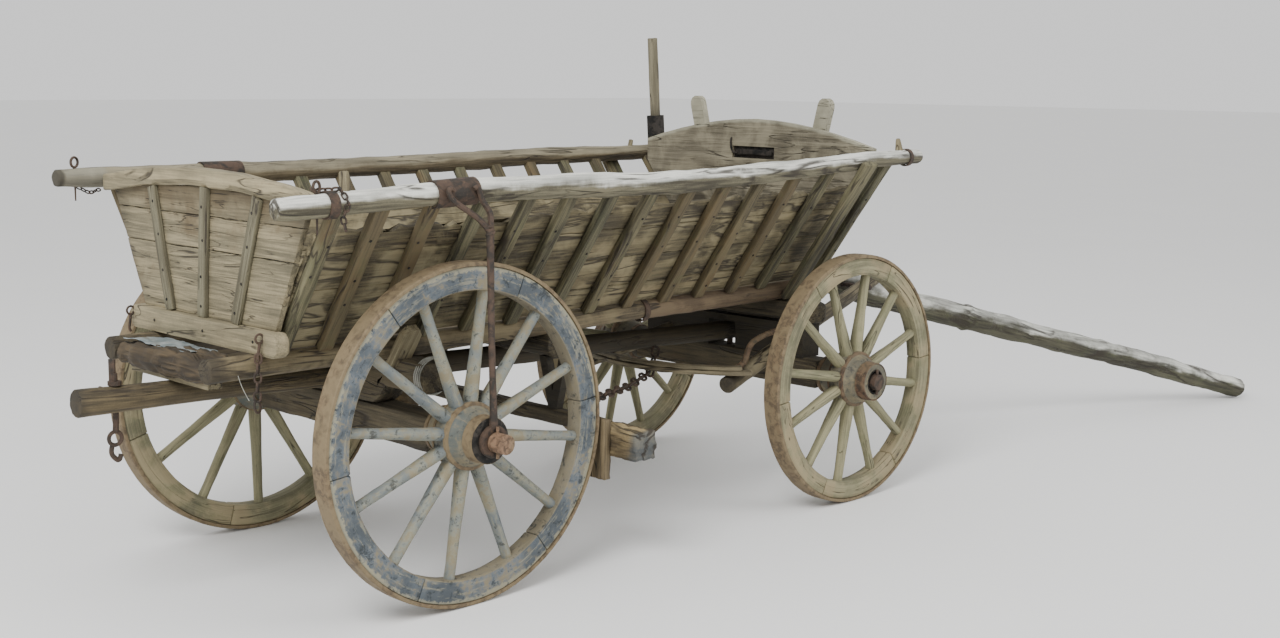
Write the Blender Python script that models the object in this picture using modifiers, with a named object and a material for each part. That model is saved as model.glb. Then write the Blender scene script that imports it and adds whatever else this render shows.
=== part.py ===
"""Old four-wheeled farm cart with sloping ladder sides, a lift-out tailboard and a draught pole.

Metres, +Z up. Forward is +X and the cart's left is +Y. Places are given from the rear axle's
middle at ground level, and one empty then moves the cart so that the middle of its footprint
is the origin.
"""

import math

import bmesh
import bpy
from mathutils import Matrix, Vector

# Clearances
GAP = 0.0003          # between pieces that touch
PIN_GAP = 0.0005      # round a pin or axle that turns
SWING_GAP = 0.006     # between pieces that move past each other

# Wheels
WHEELBASE = 1.845
REAR_WHEEL_RADIUS = 0.525
FRONT_WHEEL_RADIUS = 0.4715
REAR_HALF_TRACK = 0.594
FRONT_HALF_TRACK = 0.622
TYRE_WIDTH = 0.068
TYRE_THICKNESS = 0.012
FELLOE_WIDTH = 0.062
REAR_FELLOE_DEPTH = 0.073
FRONT_FELLOE_DEPTH = 0.0655
SPOKES = 12
SPOKE_ROOT_WIDTH = 0.041
SPOKE_ROOT_DEPTH = 0.056
SPOKE_TIP_WIDTH = 0.033
SPOKE_TIP_DEPTH = 0.037
SPOKE_TENON = 0.02
WHEEL_STEPS = 48
NAVE_STEPS = 20
NAVE_HALF_LENGTH = 0.112
NAVE_BELLY_RADIUS = 0.103
NAVE_NECK_RADIUS = 0.090
NAVE_END_RADIUS = 0.066
NAVE_HOLLOW_RADIUS = 0.046
NAVE_HOLLOW_DEPTH = 0.026

# Axles
AXLE_RADIUS = 0.030
REAR_AXLE_OVERHANG = 0.043
FRONT_AXLE_OVERHANG = 0.018
LINCHPIN_RADIUS = 0.005
LINCHPIN_LENGTH = 0.096
LINCHPIN_OFFSET = 0.008
AXLE_BEAM_WIDTH = 0.100
AXLE_BEAM_HEIGHT = 0.110
REAR_BEAM_COVER = 0.010
BEAM_END_CLEARANCE = 0.012

# Bed rails and ladders
RAIL_HALF_SPACING = 0.284
RAIL_RADIUS = 0.035
RAIL_REAR = -0.690
RAIL_FRONT = 2.100
RAIL_RISE = 0.1961      # of the rails' middle line above the rear axle beam
RAIL_SLOPE = math.radians(0.506)
LEAN = math.radians(35.7)
SLAT_FIRST = -0.463
SLAT_SECOND = -0.310
SLAT_PITCH = 0.180
SLATS_IN_RUN = 12
SLAT_LAST = 1.990
SLAT_WIDTH = 0.045
SLAT_THICKNESS = 0.028
SIDE_BOARD_THICKNESS = 0.018
SIDE_BOARD_REAR = -0.484
SIDE_BOARD_FRONT = 1.955
SIDE_BOARD_FOOT = 0.036
SIDE_BOARD_SEAM = 0.262

# Top rails in the ladder's plane: distance forward, distance up the ladder, radius
RIGHT_TOP_RAIL = [
    (-0.667, 0.597, 0.031),
    (-0.494, 0.599, 0.033),
    (0.017, 0.618, 0.036),
    (0.339, 0.612, 0.037),
    (0.697, 0.598, 0.037),
    (0.977, 0.598, 0.036),
    (1.274, 0.610, 0.035),
    (1.589, 0.625, 0.033),
    (1.877, 0.639, 0.030),
    (2.178, 0.642, 0.026),
]
LEFT_TOP_RAIL = [
    (-0.666, 0.618, 0.030),
    (0.017, 0.608, 0.034),
    (0.244, 0.603, 0.035),
    (0.684, 0.603, 0.036),
    (1.176, 0.608, 0.035),
    (1.658, 0.610, 0.033),
    (2.019, 0.612, 0.031),
    (2.178, 0.612, 0.028),
]

# Broken upper edge of the side boards: distance forward, distance up the ladder
RIGHT_BOARD_EDGE = [
    (-0.484, 0.478),
    (-0.180, 0.486),
    (0.150, 0.474),
    (0.520, 0.490),
    (0.900, 0.480),
    (1.260, 0.492),
    (1.600, 0.486),
    (1.955, 0.498),
]
LEFT_BOARD_EDGE = [
    (-0.484, 0.486),
    (-0.050, 0.478),
    (0.380, 0.489),
    (0.760, 0.476),
    (1.180, 0.488),
    (1.580, 0.480),
    (1.955, 0.494),
]

# Floor
FLOOR_THICKNESS = 0.022
FLOOR_BOARDS = 3
FLOOR_REAR = -0.488
FLOOR_FRONT = 1.998

# Reach, bolsters and cross pieces
REACH_REAR = -0.942
REACH_REAR_DROP = 0.1011     # below the rails' height, as is the next
REACH_FRONT_OVERHANG = 0.045
REACH_FRONT_DROP = 0.1746
REACH_REAR_RADIUS = 0.039
REACH_FRONT_RADIUS = 0.036
REACH_BOLT_X = -0.820
REACH_BOLT_RADIUS = 0.009
REACH_BOLT_LENGTH = 0.150
BOLSTER_WIDTH = 0.100
REAR_BOLSTER_HALF_LENGTH = 0.450
REAR_BOLSTER_END_HEIGHT = 0.090
FRONT_BOLSTER_HALF_LENGTH = 0.460
FRONT_BOLSTER_DROP = 0.1011
REAR_STUB_X = -0.040
REAR_STUB_WIDTH = 0.066
REAR_STUB_TOP = 0.120
STAKE_THICKNESS = 0.025
FRONT_STAKE_SETBACK = 0.033
FRONT_STAKE_FOOT_WIDTH = 0.088
FRONT_STAKE_TOP_WIDTH = 0.060
FRONT_STAKE_TOP = 0.664
CROSS_BEAM_X = -0.625
CROSS_BEAM_WIDTH = 0.075
CROSS_BEAM_HEIGHT = 0.062
CROSS_BOARD_WIDTH = 0.046
CROSS_BOARD_HALF_LENGTH = 0.225
CROSSBAR_X = 0.600
CROSSBAR_HALF_LENGTH = 0.330

# Brake
BRAKE_BEAM_SIZE = 0.050
BRAKE_BEAM_HALF_LENGTH = 0.445
BRAKE_BEAM_TOP = 0.482
BRAKE_BLOCK_OUTER_END = 0.755
BRAKE_BLOCK_WIDTH = 0.092
BRAKE_BLOCK_HEIGHT = 0.094
BRAKE_BLOCK_TOP = 0.470
BRAKE_SHOE_THICKNESS = 0.028
BRAKE_SHOE_WIDTH = 0.095
BRAKE_SHOE_BOTTOM = 0.300
BRAKE_SHOE_TOP = 0.500
BRAKE_SHOE_CLEARANCE = 0.008
HANGER_Y = 0.328
HANGER_THICKNESS = 0.030

# Fork rods that hold the top rails up from the rear axle's ends
FORK_ROD_RADIUS = 0.011
FORK_ARM_RADIUS = 0.009
FORK_EYE_RADIUS = 0.050
FORK_EYE_WIDTH = 0.022
FORK_RISE = 0.3969           # of the crotch above the rails' height
FORK_ARM_START = 0.020
FORK_EYE_OVERLAP = 0.008
FORK_KNEE_RISE = 0.0389
FORK_REAR_SHOULDER = (-0.070, 0.047)     # forward, above the crotch
FORK_FRONT_SHOULDER = (0.004, 0.042)
FORK_STEM_X = -0.006
FORK_CROTCH_X = -0.010
FORK_ARM_REACH = (0.012, 0.020)          # below and above the top rail's middle line
FORK_REAR_ARM_X = -0.126
FORK_FRONT_ARM_X = -0.026
CLAMP_MIDDLE = -0.078
CLAMP_LENGTH = 0.150
CLAMP_THICKNESS = 0.005
CLAMP_MOUTH = math.radians(36.0)

# Tailboard
TAIL_PLANK_THICKNESS = 0.020
TAIL_BATTEN_THICKNESS = 0.014
TAIL_SILL_THICKNESS = 0.048
TAIL_SILL_HALF_LENGTH = 0.421
TAIL_SILL_HEIGHT = 0.074
TAIL_FOOT_HALF_WIDTH = 0.376
TAIL_HEAD_HALF_WIDTH = 0.552
TAIL_HEAD_TO_RAIL = 0.4609   # heights of the tailboard are given above the rails' height
TAIL_SEAM_TO_RAIL = 0.3109
TAIL_ARCH_HALF_LENGTH = 0.592
TAIL_ARCH_RISE = 0.046
TAIL_ARCH_TO_RAIL = 0.5529
TAIL_ARCH_DEPTH = 0.054
TAIL_ARCH_THICKNESS = 0.042
TAIL_BATTEN_WIDTH = 0.040

# Tail battens: side place at the foot, side place at the head
TAIL_BATTENS = [
    (0.200, 0.293),
    (0.010, -0.024),
    (-0.177, -0.313),
]

# Front board
FRONT_BOARD_X = 1.975
FRONT_BOARD_THICKNESS = 0.024
FRONT_BOARD_HALF_WIDTH = 0.600
FRONT_BOARD_SIDE_CLEARANCE = 0.003
FRONT_BOARD_NOTCH_RISE = 0.010
FRONT_ARCH_END_TO_RAIL = 0.5729     # heights here too are given above the rails' height
FRONT_ARCH_RISE = 0.097
FRONT_SLOT_HALF_WIDTH = 0.112
FRONT_SLOT_BOTTOM_DROP = 0.159      # below the arch's top, as is the next
FRONT_SLOT_TOP_DROP = 0.111
FRONT_BATTEN_WIDTH = 0.062
FRONT_BATTEN_THICKNESS = 0.030
FRONT_BATTEN_FOOT_Y = 0.178
FRONT_BATTEN_HEAD_Y = 0.340
FRONT_BATTEN_FOOT_TO_RAIL = 0.0889
FRONT_BATTEN_HEAD_TO_ARCH = 0.057

# Corner post
POST_X = 2.058
POST_SIZE = 0.034
POST_TOP_TO_RAIL = 0.9989
POST_TILT = math.radians(-4.0)
SOCKET_SIZE = 0.052
SOCKET_HEIGHT = 0.120
SOCKET_FLOOR = 0.030

# Fore-carriage
KINGPIN_RADIUS = 0.012
FORE_BLOCK_TOP_CLEARANCE = 0.0055
FORE_BLOCK_HALF_LENGTH = 0.420
FORE_BEAM_HALF_LENGTH = 0.490
REACH_SLOT_HALF_WIDTH = 0.072
HOUND_REAR_SETBACK = 0.435          # behind the front axle
HOUND_REAR_Y = 0.375
HOUND_REAR_HEIGHT = 0.462
HOUND_FRONT_REACH = 0.775           # ahead of the front axle
HOUND_FRONT_Y = 0.135
HOUND_FRONT_HEIGHT = 0.748
HOUND_REAR_RADIUS = 0.031
HOUND_FRONT_RADIUS = 0.030
SWAY_RADIUS = 0.570
SWAY_WIDTH = 0.048
SWAY_THICKNESS = 0.032
SWAY_HALF_ANGLE = math.radians(50.0)
SWAY_STEPS = 16
BRACE_WIDTH = 0.030
BRACE_THICKNESS = 0.006
BRACE_FOOT_SETBACK = 0.370          # behind the front axle, as are the next two
BRACE_FOOT_LENGTH = 0.045
BRACE_KNEE_SETBACK = 0.290
BRACE_KNEE_HEIGHT = 0.600
BRACE_SHOULDER_SETBACK = 0.155
BRACE_SHOULDER_HEIGHT = 0.638

# Pole
POLE_PIN_SETBACK = 0.120      # behind the hounds' front ends
POLE_PIN_RADIUS = 0.011
POLE_PIN_HALF_LENGTH = 0.205
POLE_LENGTH = 2.634
POLE_TAIL = 0.230
POLE_TAIL_RADIUS = 0.059
POLE_TIP_RADIUS = 0.048
POLE_HEADING = math.radians(-16.5)
POLE_SIDES = 16


# Values that follow from the sizes above

REAR_AXLE_HALF_LENGTH = (REAR_HALF_TRACK + NAVE_HALF_LENGTH + SWING_GAP + FORK_EYE_WIDTH
                         + LINCHPIN_OFFSET + REAR_AXLE_OVERHANG)
REAR_BEAM_TOP = REAR_WHEEL_RADIUS + AXLE_RADIUS + REAR_BEAM_COVER
RAIL_HEIGHT = REAR_BEAM_TOP + RAIL_RISE
REACH_REAR_HEIGHT = RAIL_HEIGHT - REACH_REAR_DROP
REACH_FRONT_HEIGHT = RAIL_HEIGHT - REACH_FRONT_DROP
FRONT_BOLSTER_BOTTOM = RAIL_HEIGHT - FRONT_BOLSTER_DROP
FRONT_STAKE_X = WHEELBASE - FRONT_STAKE_SETBACK
FORK_HEIGHT = RAIL_HEIGHT + FORK_RISE
TAIL_HEAD_HEIGHT = RAIL_HEIGHT + TAIL_HEAD_TO_RAIL
TAIL_SEAM_HEIGHT = RAIL_HEIGHT + TAIL_SEAM_TO_RAIL
TAIL_ARCH_TOP = RAIL_HEIGHT + TAIL_ARCH_TO_RAIL
FRONT_ARCH_END = RAIL_HEIGHT + FRONT_ARCH_END_TO_RAIL
FRONT_ARCH_TOP = FRONT_ARCH_END + FRONT_ARCH_RISE
FRONT_SLOT_BOTTOM = FRONT_ARCH_TOP - FRONT_SLOT_BOTTOM_DROP
FRONT_SLOT_TOP = FRONT_ARCH_TOP - FRONT_SLOT_TOP_DROP
FRONT_BATTEN_FOOT = (FRONT_BATTEN_FOOT_Y, RAIL_HEIGHT + FRONT_BATTEN_FOOT_TO_RAIL)
FRONT_BATTEN_HEAD = (FRONT_BATTEN_HEAD_Y, FRONT_ARCH_TOP + FRONT_BATTEN_HEAD_TO_ARCH)
POST_TOP = RAIL_HEIGHT + POST_TOP_TO_RAIL
HOUND_REAR = (WHEELBASE - HOUND_REAR_SETBACK, HOUND_REAR_Y, HOUND_REAR_HEIGHT)
HOUND_FRONT = (WHEELBASE + HOUND_FRONT_REACH, HOUND_FRONT_Y, HOUND_FRONT_HEIGHT)
HOUND_PITCH = math.atan2(HOUND_FRONT[2] - HOUND_REAR[2], HOUND_FRONT[0] - HOUND_REAR[0])
BRACE_FOOT_X = WHEELBASE - BRACE_FOOT_SETBACK
BRACE_KNEE = (WHEELBASE - BRACE_KNEE_SETBACK, BRACE_KNEE_HEIGHT)
BRACE_SHOULDER = (WHEELBASE - BRACE_SHOULDER_SETBACK, BRACE_SHOULDER_HEIGHT)
POLE_PIN_X = HOUND_FRONT[0] - POLE_PIN_SETBACK


def between(start, end, share):
    """Value a given share of the way from start to end."""
    return start + (end - start) * share


def table_value(rows, x, column):
    """Value of one column of a table at x, with straight lines between its rows."""
    for low, high in zip(rows, rows[1:]):
        if x <= high[0]:
            break
    share = (x - low[0]) / (high[0] - low[0])
    return between(low[column], high[column], share)


def rail_height(x):
    """Height of the bed rails' middle line at x."""
    return RAIL_HEIGHT + x * math.tan(RAIL_SLOPE)


def bolster_top(x):
    """Height of the top of a bolster at x, just under the lowest point of the rails on it."""
    return rail_height(x - BOLSTER_WIDTH / 2) - (RAIL_RADIUS + GAP) / math.cos(RAIL_SLOPE)


def reach_height(x):
    """Height of the reach's middle line at x."""
    share = (x - REACH_REAR) / (WHEELBASE - REACH_REAR)
    return between(REACH_REAR_HEIGHT, REACH_FRONT_HEIGHT, share)


def reach_radius(x):
    """Radius of the reach at x."""
    share = (x - REACH_REAR) / (WHEELBASE + REACH_FRONT_OVERHANG - REACH_REAR)
    return between(REACH_REAR_RADIUS, REACH_FRONT_RADIUS, share)


def hound_point(x, side):
    """Point on a hound's middle line at x."""
    share = (x - HOUND_REAR[0]) / (HOUND_FRONT[0] - HOUND_REAR[0])
    rear = Vector((HOUND_REAR[0], side * HOUND_REAR[1], HOUND_REAR[2]))
    front = Vector((HOUND_FRONT[0], side * HOUND_FRONT[1], HOUND_FRONT[2]))
    return rear.lerp(front, share)


def flank_point(side, x, up, out):
    """World-like point from a place in a ladder's plane and a distance out from it."""
    y = RAIL_HALF_SPACING + up * math.sin(LEAN) + out * math.cos(LEAN)
    z = rail_height(x) + up * math.cos(LEAN) - out * math.sin(LEAN)
    return Vector((x, side * y, z))


def tail_arch_height(y):
    """Height of the top of the tailboard's arched head at y."""
    return TAIL_ARCH_TOP - TAIL_ARCH_RISE * (y / TAIL_ARCH_HALF_LENGTH) ** 2


def front_arch_height(y):
    """Height of the top of the front board at y."""
    rise = FRONT_ARCH_TOP - FRONT_ARCH_END
    return FRONT_ARCH_TOP - rise * abs(y / FRONT_BOARD_HALF_WIDTH) ** 1.8


def around(radius, steps):
    """Corner radius of a hole with this many sides that clears a round of the given radius."""
    return radius / math.cos(math.pi / steps)


POLE_PIN_HEIGHT = hound_point(POLE_PIN_X, 1).z
POLE_DROP = (math.asin(POLE_PIN_HEIGHT / math.hypot(POLE_LENGTH, POLE_TIP_RADIUS))
             - math.atan2(POLE_TIP_RADIUS, POLE_LENGTH))
POLE_DIRECTION = Vector((math.cos(POLE_DROP) * math.cos(POLE_HEADING),
                         math.cos(POLE_DROP) * math.sin(POLE_HEADING),
                         -math.sin(POLE_DROP)))
FRONT_END = (POLE_PIN_X + POLE_LENGTH * POLE_DIRECTION.x
             + POLE_TIP_RADIUS * math.sqrt(1 - POLE_DIRECTION.x ** 2))
REACH_DROP = math.atan2(REACH_REAR_HEIGHT - REACH_FRONT_HEIGHT, WHEELBASE - REACH_REAR)
REAR_END = REACH_REAR - REACH_REAR_RADIUS * math.sin(REACH_DROP)
ORIGIN_X = (REAR_END + FRONT_END) / 2
REAR_BEAM_TOP = REAR_WHEEL_RADIUS + AXLE_RADIUS + REAR_BEAM_COVER
REAR_BEAM_HALF_LENGTH = REAR_HALF_TRACK - NAVE_HALF_LENGTH - BEAM_END_CLEARANCE
FORE_BEAM_TOP = FRONT_WHEEL_RADIUS + AXLE_BEAM_HEIGHT / 2
TAIL_FRONT_FACE = SLAT_FIRST - SLAT_WIDTH / 2 - SWING_GAP - 0.004
TAIL_FOOT = rail_height(TAIL_FRONT_FACE) + (RAIL_RADIUS + GAP) / math.cos(RAIL_SLOPE)


# Scene and materials

def clear_scene():
    """Remove every object, so that the model starts alone."""
    for item in list(bpy.data.objects):
        bpy.data.objects.remove(item, do_unlink=True)


def new_collection(name):
    collection = bpy.data.collections.new(name)
    bpy.context.scene.collection.children.link(collection)
    return collection


def material(name, colour, roughness, metallic=0.0):
    """Principled material of one colour."""
    made = bpy.data.materials.new(name)
    made.use_nodes = True
    shader = made.node_tree.nodes["Principled BSDF"]
    shader.inputs["Base Color"].default_value = (*colour, 1.0)
    shader.inputs["Roughness"].default_value = roughness
    shader.inputs["Metallic"].default_value = metallic
    made.diffuse_color = (*colour, 1.0)
    return made


def empty(name, parent, location=(0, 0, 0), rotation=(0, 0, 0)):
    """Empty that stands for a frame or for a joint's axis."""
    made = bpy.data.objects.new(name, None)
    made.location = location
    made.rotation_euler = rotation
    made.parent = parent
    made.empty_display_size = 0.08
    parts.objects.link(made)
    return made


def settle(item, name, collection, parent, finish=None):
    """Name an object, move it to its collection and parent, and give it its material."""
    for old in list(item.users_collection):
        old.objects.unlink(item)
    collection.objects.link(item)
    item.name = name
    item.data.name = name
    item.parent = parent
    if finish is not None:
        item.data.materials.clear()
        item.data.materials.append(finish)
    if collection is cutters:
        item.hide_render = True
        item.display_type = "WIRE"
    return item


# Shapes

def box(size, centre, rotation=(0, 0, 0)):
    """Box of the given size about its centre, with its scale applied."""
    bpy.ops.mesh.primitive_cube_add(size=1, location=centre, rotation=rotation)
    made = bpy.context.active_object
    made.scale = size
    bpy.ops.object.transform_apply(location=False, rotation=False, scale=True)
    return made


def rod(start, end, radius_start, radius_end=None, sides=16):
    """Straight round piece between two points, which may taper."""
    start, end = Vector(start), Vector(end)
    along = end - start
    if radius_end is None:
        radius_end = radius_start
    bpy.ops.mesh.primitive_cone_add(
        vertices=sides, radius1=radius_start, radius2=radius_end, depth=along.length,
        location=(start + end) / 2, rotation=along.to_track_quat("Z", "Y").to_euler())
    made = bpy.context.active_object
    made.data.shade_smooth()
    made.data.set_sharp_from_angle(angle=math.radians(40))
    return made


def welded(item):
    """Replace a curve object by a mesh object with its caps welded to its sides."""
    bpy.context.view_layer.update()
    evaluated = item.evaluated_get(bpy.context.evaluated_depsgraph_get())
    mesh = bpy.data.meshes.new_from_object(evaluated)
    work = bmesh.new()
    work.from_mesh(mesh)
    bmesh.ops.remove_doubles(work, verts=work.verts, dist=0.00001)
    bmesh.ops.recalc_face_normals(work, faces=work.faces)
    work.to_mesh(mesh)
    work.free()
    made = bpy.data.objects.new(item.name, mesh)
    made.matrix_world = item.matrix_world
    bpy.context.scene.collection.objects.link(made)
    bpy.data.objects.remove(item, do_unlink=True)
    return made


def tube(points, radii, resolution=3):
    """Round bar or pole through points, with a radius at each of them."""
    curve = bpy.data.curves.new("tube", "CURVE")
    curve.dimensions = "3D"
    curve.bevel_depth = 1.0
    curve.bevel_resolution = resolution
    curve.use_fill_caps = True
    spline = curve.splines.new("POLY")
    spline.points.add(len(points) - 1)
    for target, point, radius in zip(spline.points, points, radii):
        target.co = (*point, 1.0)
        target.radius = radius
    made = bpy.data.objects.new("tube", curve)
    bpy.context.scene.collection.objects.link(made)
    return welded(made)


def plate(outline, thickness, location=(0, 0, 0), rotation=(0, 0, 0)):
    """Flat piece from an outline, half of its thickness to each side."""
    curve = bpy.data.curves.new("plate", "CURVE")
    curve.dimensions = "2D"
    curve.fill_mode = "BOTH"
    curve.extrude = thickness / 2
    spline = curve.splines.new("POLY")
    spline.points.add(len(outline) - 1)
    for target, point in zip(spline.points, outline):
        target.co = (point[0], point[1], 0.0, 1.0)
    spline.use_cyclic_u = True
    made = bpy.data.objects.new("plate", curve)
    made.location = location
    made.rotation_euler = rotation
    bpy.context.scene.collection.objects.link(made)
    return welded(made)


def turned(profile, steps, rotation=(0, 0, 0)):
    """Turned piece about its own Z axis from a closed profile of (radius, height) points."""
    mesh = bpy.data.meshes.new("turned")
    corners = [(radius, 0.0, height) for radius, height in profile]
    count = len(corners)
    mesh.from_pydata(corners, [(i, (i + 1) % count) for i in range(count)], [])
    made = bpy.data.objects.new("turned", mesh)
    bpy.context.scene.collection.objects.link(made)
    made.rotation_euler = rotation
    screw = made.modifiers.new("turn", "SCREW")
    screw.steps = steps
    screw.render_steps = steps
    screw.use_merge_vertices = True
    screw.merge_threshold = 0.00001
    screw.use_smooth_shade = False
    return made


def strap(points, width, thickness):
    """Bent flat bar through points in the XZ plane, with its width along Y."""
    work = bmesh.new()
    pairs = []
    for x, z in points:
        left = work.verts.new((x, width / 2, z))
        right = work.verts.new((x, -width / 2, z))
        pairs.append((left, right))
    for near, far in zip(pairs, pairs[1:]):
        work.faces.new((near[0], near[1], far[1], far[0]))
    mesh = bpy.data.meshes.new("strap")
    work.to_mesh(mesh)
    work.free()
    made = bpy.data.objects.new("strap", mesh)
    bpy.context.scene.collection.objects.link(made)
    solid = made.modifiers.new("thickness", "SOLIDIFY")
    solid.thickness = thickness
    solid.offset = 0.0
    solid.use_even_offset = True
    return made


def combine(item, other, operation, name):
    """Boolean of one object with another, which is kept among the cutters."""
    settle(other, name, cutters, other.parent or item.parent)
    step = item.modifiers.new(name, "BOOLEAN")
    step.operation = operation
    step.solver = "EXACT"
    step.object = other
    return item


def cut(item, cutter, name):
    return combine(item, cutter, "DIFFERENCE", name)


def fuse(item, other, name):
    return combine(item, other, "UNION", name)


CROSS_SECTION = (math.pi / 2, 0, math.pi / 2)   # outline's x to +Y, its y to +Z, extruded along X
SIDES = (("left", 1), ("right", -1))


# Wheels: name, x, half track, radius, felloe depth, spoke phase on the left, on the right
WHEELS = [
    ("rear", 0.0, REAR_HALF_TRACK, REAR_WHEEL_RADIUS, REAR_FELLOE_DEPTH, 1.0, 21.0),
    ("front", WHEELBASE, FRONT_HALF_TRACK, FRONT_WHEEL_RADIUS, FRONT_FELLOE_DEPTH, 17.0, 20.0),
]


def nave_profile():
    """Closed profile of the nave, down its outer side and back up its bore."""
    bore = around(AXLE_RADIUS + PIN_GAP, NAVE_STEPS)
    half = NAVE_HALF_LENGTH
    return [
        (NAVE_END_RADIUS, half),
        (NAVE_END_RADIUS + 0.002, 0.066),
        (NAVE_NECK_RADIUS - 0.008, 0.062),
        (NAVE_NECK_RADIUS, 0.034),
        (NAVE_BELLY_RADIUS, 0.030),
        (NAVE_BELLY_RADIUS, -0.036),
        (NAVE_NECK_RADIUS, -0.040),
        (NAVE_END_RADIUS + 0.008, -half + 0.030),
        (NAVE_END_RADIUS + 0.004, -half),
        (bore, -half),
        (bore, half - NAVE_HOLLOW_DEPTH),
        (NAVE_HOLLOW_RADIUS, half - NAVE_HOLLOW_DEPTH),
        (NAVE_HOLLOW_RADIUS, half),
    ]


def ring_profile(outer, inner, width):
    """Closed profile of a flat ring."""
    return [(outer, width / 2), (outer, -width / 2), (inner, -width / 2), (inner, width / 2)]


def spoke_set(felloe_inner, phase):
    """All spokes of one wheel about its own Z axis, oval and tapering to the felloe."""
    root = NAVE_BELLY_RADIUS - 0.015
    tip = felloe_inner + SPOKE_TENON
    work = bmesh.new()
    for index in range(SPOKES):
        made = bmesh.ops.create_cone(work, cap_ends=True, segments=8, radius1=1.0, radius2=1.0,
                                     depth=tip - root)
        turn = Matrix.Rotation(phase + index * math.tau / SPOKES, 4, "Z")
        upright = Matrix.Rotation(math.pi / 2, 4, "Y")
        for corner in made["verts"]:
            at_root = corner.co.z < 0
            corner.co.x *= (SPOKE_ROOT_DEPTH if at_root else SPOKE_TIP_DEPTH) / 2
            corner.co.y *= (SPOKE_ROOT_WIDTH if at_root else SPOKE_TIP_WIDTH) / 2
            corner.co.z += (root + tip) / 2
            corner.co = turn @ upright @ corner.co
    mesh = bpy.data.meshes.new("spokes")
    work.to_mesh(mesh)
    work.free()
    made = bpy.data.objects.new("spokes", mesh)
    bpy.context.scene.collection.objects.link(made)
    return made


def build_wheels(cart, fore_carriage):
    """Four wheels, each an iron tyre on a wooden wheel of felloe, spokes and nave."""
    half_step = math.pi / WHEEL_STEPS
    for end, x, half_track, radius, depth, left_phase, right_phase in WHEELS:
        for side_name, side in SIDES:
            name = f"{end}_{side_name}"
            parent = cart if end == "rear" else fore_carriage
            offset = x - (WHEELBASE if end == "front" else 0.0)
            hub = empty(f"hub_{name}", parent, (offset, side * half_track, radius),
                        (-side * math.pi / 2, 0, 0))

            outer = around(radius, WHEEL_STEPS)
            inner = outer - TYRE_THICKNESS
            tyre = turned(ring_profile(outer, inner, TYRE_WIDTH), WHEEL_STEPS, (0, 0, half_step))
            settle(tyre, f"tyre_{name}", parts, hub, TYRE_IRON)

            felloe_inner = radius - TYRE_THICKNESS - depth
            wheel = turned(ring_profile(inner - GAP, felloe_inner, FELLOE_WIDTH), WHEEL_STEPS,
                           (0, 0, half_step))
            settle(wheel, f"wheel_{name}", parts, hub,
                   PAINTED_WOOD if end == "rear" else WHEEL_WOOD)
            phase = math.radians(-left_phase if side > 0 else right_phase)
            spokes = settle(spoke_set(felloe_inner, phase), "spokes", cutters, hub)
            fuse(wheel, spokes, f"spokes_{name}")
            nave = settle(turned(nave_profile(), NAVE_STEPS), "nave", cutters, hub)
            fuse(wheel, nave, f"nave_{name}")


def axle_iron(half_length, height, linchpin_y, parent, name):
    """Round axle with a linchpin through each end."""
    axle = rod((0, -half_length, height), (0, half_length, height), AXLE_RADIUS, sides=24)
    settle(axle, name, parts, parent, IRON)
    for side_name, side in SIDES:
        low = (0, side * linchpin_y, height - LINCHPIN_LENGTH / 2)
        high = (0, side * linchpin_y, height + LINCHPIN_LENGTH / 2)
        pin = rod(low, high, LINCHPIN_RADIUS, sides=8)
        pin.parent = parent
        fuse(axle, pin, f"linchpin_{name}_{side_name}")
    return axle


def beam_bore(half_length, height, parent):
    """Cutter that seats a beam on its axle."""
    bore = rod((0, -half_length, height), (0, half_length, height),
               around(AXLE_RADIUS + GAP, 24), sides=24)
    bore.parent = parent
    return bore


# Running gear under the load bed

def build_rear_axle(cart):
    """Rear axle, its beam, and the bolster with the stumps of its stakes."""
    nave_end = REAR_HALF_TRACK + NAVE_HALF_LENGTH
    linchpin_y = nave_end + SWING_GAP + FORK_EYE_WIDTH + LINCHPIN_OFFSET
    axle_iron(REAR_AXLE_HALF_LENGTH, REAR_WHEEL_RADIUS, linchpin_y, cart, "rear_axle_iron")

    beam = box((AXLE_BEAM_WIDTH, 2 * REAR_BEAM_HALF_LENGTH, AXLE_BEAM_HEIGHT),
               (0, 0, REAR_BEAM_TOP - AXLE_BEAM_HEIGHT / 2))
    settle(beam, "rear_axle_beam", parts, cart, DARK_WOOD)
    cut(beam, beam_bore(REAR_BEAM_HALF_LENGTH + 0.05, REAR_WHEEL_RADIUS, cart), "rear_beam_bore")

    top = bolster_top(0.0)
    low = REAR_BEAM_TOP + GAP
    end = REAR_BOLSTER_HALF_LENGTH
    foot = REAR_BOLSTER_HALF_LENGTH * 0.62
    end_low = top - REAR_BOLSTER_END_HEIGHT
    outline = [(-end, top - 0.02), (-end, end_low), (-foot, low), (foot, low), (end, end_low),
               (end, top - 0.02), (end - 0.02, top), (-end + 0.02, top)]
    bolster = plate(outline, BOLSTER_WIDTH, rotation=CROSS_SECTION)
    settle(bolster, "rear_bolster", parts, cart, DARK_WOOD)
    for side_name, side in SIDES:
        stub = stake(side, REAR_STUB_X, -0.05, REAR_STUB_TOP, REAR_STUB_WIDTH, REAR_STUB_WIDTH)
        stub.parent = flanks[side]
        fuse(bolster, stub, f"rear_stub_{side_name}")
    clearance = rod((REACH_REAR, 0, reach_height(REACH_REAR)),
                    (WHEELBASE, 0, reach_height(WHEELBASE)),
                    around(REACH_REAR_RADIUS + GAP, 24), around(REACH_FRONT_RADIUS + GAP, 24), 24)
    clearance.parent = cart
    cut(bolster, clearance, "reach_hole")


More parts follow.
